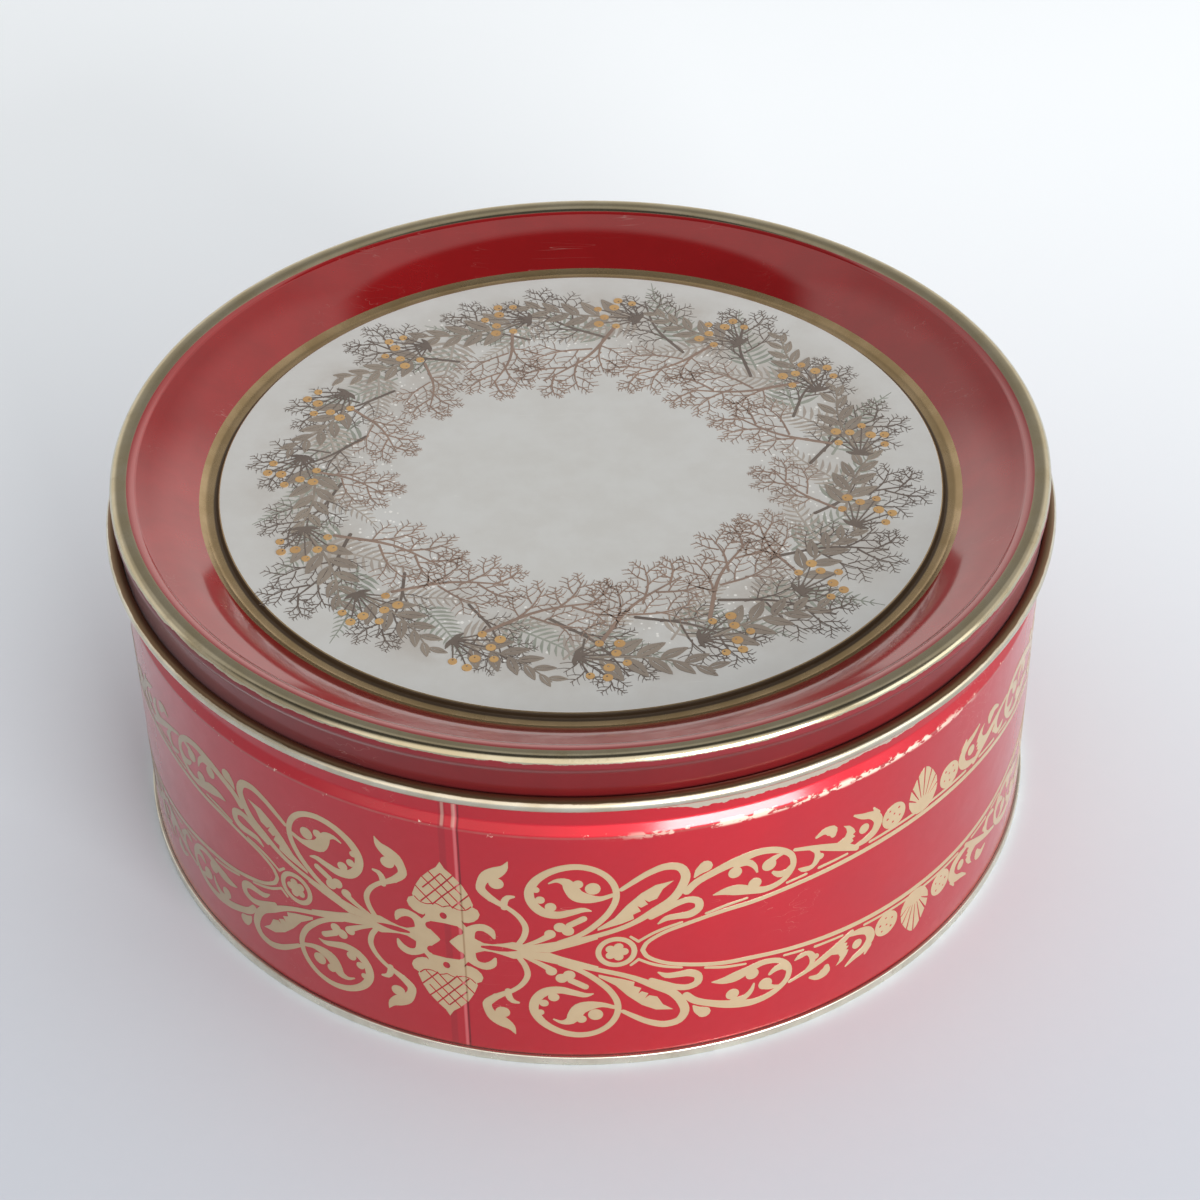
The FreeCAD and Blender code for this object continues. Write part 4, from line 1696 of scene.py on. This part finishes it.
def draw_spray(pen: Drawing) -> None:
    """Draw a leafy spray: a curved stem and pointed leaves on both sides, each with a free midrib.

    Args:
        pen: The drawing.
    """
    stem = smooth_line([(0.0, 0.0, 0.3), (8.0, 1.0, 0.26), (16.0, 0.6, 0.2), (24.0, -1.4, 0.12)], 1.5)
    pen.stroke(*stem)
    half = [(0.06, 0.0), (0.25, 0.15), (0.5, 0.2), (0.78, 0.12), (1.0, 0.0)]
    outline = half + [(along, -wide * 0.85) for along, wide in reversed(half[1:-1])]
    for k in range(10):
        x = 1.5 + 2.3 * k
        foot = Vector((x, float(np.interp(x, stem[:, 0], stem[:, 1]))))
        turn = Matrix.Rotation((0.85 if k % 2 else -0.85) * (1 - 0.05 * k), 2)
        length = 8.4 - 0.38 * k
        pen.leaf(*[foot + turn @ Vector(p) * length for p in outline], step=1.0)
        rib = [foot + turn @ Vector((share, 0.01)) * length for share in (0.2, 0.85)]
        pen.stroke((*rib[0], 0.13), (*rib[1], 0.05), gap=True, step=3.0)


def draw_berries(pen: Drawing) -> None:
    """Draw a cluster of round berries, each with a free glint.

    Args:
        pen: The drawing.
    """
    for k, berry in enumerate(BERRY_PLACES):
        x, y = heads_to((0.0, 0.0), *berry)
        pen.dot(x, y, 0.95 + 0.12 * (k % 3), corners=16)
        pen.dot(x - 0.3, y + 0.3, 0.24, gap=True, corners=7)


def draw_stalks(pen: Drawing) -> None:
    """Draw the stalks of the berries, with small scale leaves at their foot.

    Args:
        pen: The drawing.
    """
    for berry in BERRY_PLACES:
        x, y = heads_to((0.0, 0.0), *berry)
        pen.stroke((0.0, 0.0, 0.2), (0.55 * x, 0.5 * y, 0.16), (x, y, 0.12), step=2.0)
    for heading in (-1.2, -0.3, 0.6, 1.4):
        middle = heads_to((0.0, 0.0), heading, 1.6)
        tip = heads_to((0.0, 0.0), heading, 3.2)
        pen.stroke((0.0, 0.0, 0.1), (*middle, 0.55), (*tip, 0.05), step=1.0)


def draw_frost(pen: Drawing) -> None:
    """Draw a drift of small pale flecks.

    Args:
        pen: The drawing.
    """
    for k in range(34):
        reach = 1.3 * math.sqrt(k)
        turn = 2.4 * k
        pen.dot(2.2 * reach * math.cos(turn), reach * math.sin(turn), 0.2 + 0.05 * (k % 5), corners=7)


def chance(graph: Graph, low: object, high: object, seed: Socket, shift: int) -> Socket:
    """Return a random number for each point.

    Args:
        graph: The tree's graph.
        low: Lowest number.
        high: Highest number.
        seed: The tree's seed.
        shift: What is added to the seed, so that each number differs.

    Returns:
        The random number.
    """
    own = graph.whole("ADD", seed, shift)
    return graph.out("FunctionNodeRandomValue", {2: low, 3: high, "Seed": own}, output=1, data_type="FLOAT")


def wreath_ring_tree(ink: Finish) -> Tree:
    """Build the tree that sets copies of a flat sprig round a ring, uneven in place, turn and size.

    Args:
        ink: The sprig's ink.

    Returns:
        The tree.
    """
    tree = bpy.data.node_groups.new("wreath_ring", "GeometryNodeTree")
    sizes = ("Radius", "Radius spread", "Start angle", "Lean", "Lean spread", "Smallest", "Largest",
             "Height", "Thickness")
    inputs = {"Sprig": "Geometry", "Count": "Int", "Seed": "Int"} | dict.fromkeys(sizes, "Float")
    graph, given = open_tree(tree, inputs, "Geometry")
    uneven = {}
    for shift, label in enumerate(("Radius spread", "Lean spread"), 1):
        uneven[label] = chance(graph, graph.times(given[label], -1.0), given[label], given["Seed"], shift)
    line = graph.out("GeometryNodeMeshLine", {"Count": given["Count"]})
    share = graph.math("DIVIDE", graph.out("GeometryNodeInputIndex"), given["Count"])
    angle = graph.plus(graph.times(share, 2 * math.pi), given["Start angle"])
    spot = graph.polar(graph.plus(given["Radius"], uneven["Radius spread"]), angle)
    places = graph.out("GeometryNodeSetPosition", {"Geometry": line, "Position": spot})
    lean = graph.plus(given["Lean"], uneven["Lean spread"])
    heading = graph.minus(graph.plus(angle, math.pi / 2), lean)
    turn = graph.out("FunctionNodeEulerToRotation", {0: graph.out("ShaderNodeCombineXYZ", {2: heading})})
    size = chance(graph, given["Smallest"], given["Largest"], given["Seed"], 3)
    copies = graph.out("GeometryNodeInstanceOnPoints", {
        "Points": places, "Instance": given["Sprig"], "Rotation": turn, "Scale": size})
    inked = thick_ink(graph, graph.out("GeometryNodeRealizeInstances", {0: copies}), given["Thickness"])
    up = graph.out("ShaderNodeCombineXYZ", {2: given["Height"]})
    end_in_ink(graph, graph.out("GeometryNodeSetPosition", {"Geometry": inked, "Offset": up}), ink)
    return tree


@dataclass(frozen=True)
class WreathLayer:
    """One ring of sprigs in one ink: how many, where, and how uneven."""

    name: str
    draw: Callable[[Drawing], None]
    ink: Finish
    count: int
    radius: float
    lean: float
    start: float = 0.0
    radius_spread: float = 2.0
    lean_spread: float = 14.0
    smallest: float = 0.85
    largest: float = 1.1
    seed: int = 1

    def build(self, height: float, thickness: float) -> None:
        """Make the layer.

        Args:
            height: Height of the ink's lower face.
            thickness: Thickness of the ink.
        """
        pen = Drawing()
        self.draw(pen)
        mesh = evaluated(pen.mesh(self.name), wreath_ring_tree(self.ink), {
            "Count": self.count, "Seed": self.seed, "Radius": self.radius * MM,
            "Radius spread": self.radius_spread * MM, "Start angle": math.radians(self.start),
            "Lean": math.radians(self.lean), "Lean spread": math.radians(self.lean_spread),
            "Smallest": self.smallest, "Largest": self.largest,
            "Height": height * MM, "Thickness": thickness * MM})
        piece(self.name, mesh, "lid", "lid_lacquer")


EVEN = {"lean_spread": 0.0, "radius_spread": 0.0, "smallest": 1.0, "largest": 1.0}
WREATH_LAYERS = (
    WreathLayer("wreath_frost", draw_frost, PALE_INK, 26, 54.0, 20.0,
                radius_spread=8.0, smallest=0.8, largest=1.05, seed=3),
    WreathLayer("wreath_outer_fronds", draw_frond, GREEN_INK, 19, 55.0, 33.0, 5.0, seed=11),
    WreathLayer("wreath_inner_fronds", draw_frond, DUN_INK, 17, 62.0, -36.0, 12.0, seed=17),
    WreathLayer("wreath_outer_twigs", draw_twig, UMBER_INK, 18, 52.0, 42.0, 2.0,
                smallest=0.8, largest=1.02, seed=23),
    WreathLayer("wreath_inner_twigs", draw_twig, BROWN_INK, 15, 58.0, -52.0, 9.0,
                smallest=0.75, largest=1.15, seed=29),
    WreathLayer("wreath_sprays", draw_spray, BARK_INK, 15, 61.0, 4.0, 7.0, lean_spread=10.0, seed=31),
    WreathLayer("wreath_stalks", draw_stalks, UMBER_INK, 15, 62.0, 18.0, 4.0, **EVEN),
    WreathLayer("wreath_berries", draw_berries, OCHRE_INK, 15, 62.0, 18.0, 4.0, **EVEN),
)


@dataclass
class LidPrint:
    """Wreath printed on the lid's panel, one ink over the other."""

    sunk: float = 0.03
    first_depth: float = 0.045
    step: float = 0.016
    layers: Sequence[WreathLayer] = WREATH_LAYERS

    def build(self) -> None:
        """Make each layer of the wreath, every one a little thicker than the one under it."""
        for number, layer in enumerate(self.layers):
            layer.build(Lid.panel_top - self.sunk, self.first_depth + number * self.step)


@dataclass
class Studio:
    """Pale floor, soft light and the camera at the photograph's angle."""

    frame_width: float = 1200.0
    focal_length: float = 2800.0
    sensor_width: float = 36.0
    eye: Place = (0.0, -493.8, 446.9)
    pan: float = 0.0076
    tilt: float = 0.6865
    roll: float = -0.0186
    floor_radius: float = 3000.0
    lamp_target: Place = (0.0, 0.0, 40.0)

    def build(self) -> None:
        """Make the floor, the world, the lamps and the camera."""
        self.build_floor()
        self.build_world()
        self.build_lamp("front_window", (850.0, -1470.0, 360.0), (950.0, 650.0), 41.0)
        self.build_lamp("side_window", (1620.0, -420.0, 420.0), (1000.0, 800.0), 4.0)
        self.build_camera()
        bpy.context.scene.view_settings.view_transform = "Standard"

    def build_floor(self) -> None:
        """Make the floor, a wide pale disc."""
        radius = self.floor_radius * MM
        ring = [(radius * math.cos(a), radius * math.sin(a), 0.0) for a in even_stations(96)]
        floor = bpy.data.objects.new("floor", mesh_of("floor", ring, faces=[list(range(len(ring)))]))
        bpy.context.scene.collection.objects.link(floor)
        floor.data.materials.append(FLOOR_PAPER.material())

    def build_world(self) -> None:
        """Make the world: soft light, a room for reflections, and a plain pale backdrop for the camera."""
        world = bpy.data.worlds.new("studio")
        world.use_nodes = True
        world.node_tree.nodes.clear()
        graph = Graph(world.node_tree)
        aim = graph.parts(graph.out("ShaderNodeTexCoord", output="Generated"))
        straight = graph.node("ShaderNodeLightPath").outputs
        soft = graph.out("ShaderNodeBackground", {0: (0.97, 0.98, 1.0, 1.0), 1: self.daylight(graph, aim)})
        mirrored = graph.out("ShaderNodeBackground", {0: (1.0, 0.94, 0.89, 1.0), 1: self.room(graph, aim)})
        seen = graph.out("ShaderNodeBackground", {0: paint(238, 241, 243), 1: 1.0})
        mixed = graph.out("ShaderNodeMixShader", {0: straight["Is Glossy Ray"], 1: soft, 2: mirrored})
        mixed = graph.out("ShaderNodeMixShader", {0: straight["Is Camera Ray"], 1: mixed, 2: seen})
        graph.node("ShaderNodeOutputWorld", {0: mixed})
        bpy.context.scene.world = world

    @staticmethod
    def daylight(graph: Graph, aim: bpy.types.NodeOutputs) -> Socket:
        """Return the strength of the soft light, from overhead and slanting from the right and the back.

        Args:
            graph: The world's graph.
            aim: The direction's three numbers.

        Returns:
            The strength.
        """
        overhead = graph.math("POWER", graph.math("MAXIMUM", aim[2], 0.0), 2.0)
        slant = graph.plus(graph.times(aim[0], 0.24), graph.times(aim[1], 0.2))
        return graph.plus(overhead, graph.math("MAXIMUM", graph.plus(slant, 0.31), 0.0))

    @staticmethod
    def room(graph: Graph, aim: bpy.types.NodeOutputs) -> Socket:
        """Return the strength of what metal mirrors: a bright backdrop behind, and a window in front.

        Args:
            graph: The world's graph.
            aim: The direction's three numbers.

        Returns:
            The strength.
        """
        backdrop = graph.fall(aim[2], 0.3, 0.75)
        ceiling = graph.times(graph.step(aim[2], 0.75, 0.9), 0.45)
        aside = graph.scale(graph.step(graph.math("ABSOLUTE", aim[0]), 0.3, 0.55), 0.26, 0.55)
        around = graph.math("MAXIMUM", graph.math("MAXIMUM", backdrop, aside), ceiling)
        behind = graph.times(graph.step(aim[1], 0.04, 0.14), around)
        window = graph.times(graph.fall(aim[1], -0.7, -0.3), graph.fall(aim[2], 0.8, 0.93), 1.5)
        front = graph.math("MAXIMUM", graph.times(backdrop, 0.5), window)
        return graph.plus(graph.times(graph.math("MAXIMUM", behind, front), 0.9), 0.06)

    def build_lamp(self, name: str, place: Place, size: Point, power: float) -> None:
        """Hang one soft lamp, aimed at the tin.

        Args:
            name: The lamp's name.
            place: Where it hangs.
            size: Its width and height.
            power: Its power in watts.
        """
        lamp = bpy.data.lights.new(name, "AREA")
        lamp.shape = "RECTANGLE"
        lamp.size = size[0] * MM
        lamp.size_y = size[1] * MM
        lamp.energy = power
        obj = bpy.data.objects.new(name, lamp)
        obj.location = Vector(place) * MM
        obj.rotation_euler = (Vector(self.lamp_target) - Vector(place)).to_track_quat("-Z", "Y").to_euler()
        bpy.context.scene.collection.objects.link(obj)

    def build_camera(self) -> None:
        """Stand the camera where the photograph was taken from."""
        lens = bpy.data.cameras.new("camera")
        lens.sensor_width = self.sensor_width
        lens.lens = self.sensor_width * self.focal_length / self.frame_width
        lens.clip_start = 0.01
        lens.clip_end = 20.0
        level = Vector((math.cos(self.pan), -math.sin(self.pan), 0.0))
        forward = Vector((math.sin(self.pan), math.cos(self.pan), 0.0))
        ahead = forward * math.cos(self.tilt) - Vector((0.0, 0.0, math.sin(self.tilt)))
        upright = level.cross(ahead)
        right = level * math.cos(self.roll) + upright * math.sin(self.roll)
        up = upright * math.cos(self.roll) - level * math.sin(self.roll)
        camera = bpy.data.objects.new("camera", lens)
        turned = Matrix((right, up, -ahead)).transposed().to_4x4()
        camera.matrix_world = Matrix.Translation(Vector(self.eye) * MM) @ turned
        bpy.context.scene.collection.objects.link(camera)
        bpy.context.scene.camera = camera


def main() -> None:
    """Build the tin piece by piece, then the studio round it."""
    logging.basicConfig(level=logging.INFO)
    for part in (Lid(), LidPrint(), Wall(), WallPrint(), Base(), Studio()):
        part.build()


if __name__ == "__main__":
    main()
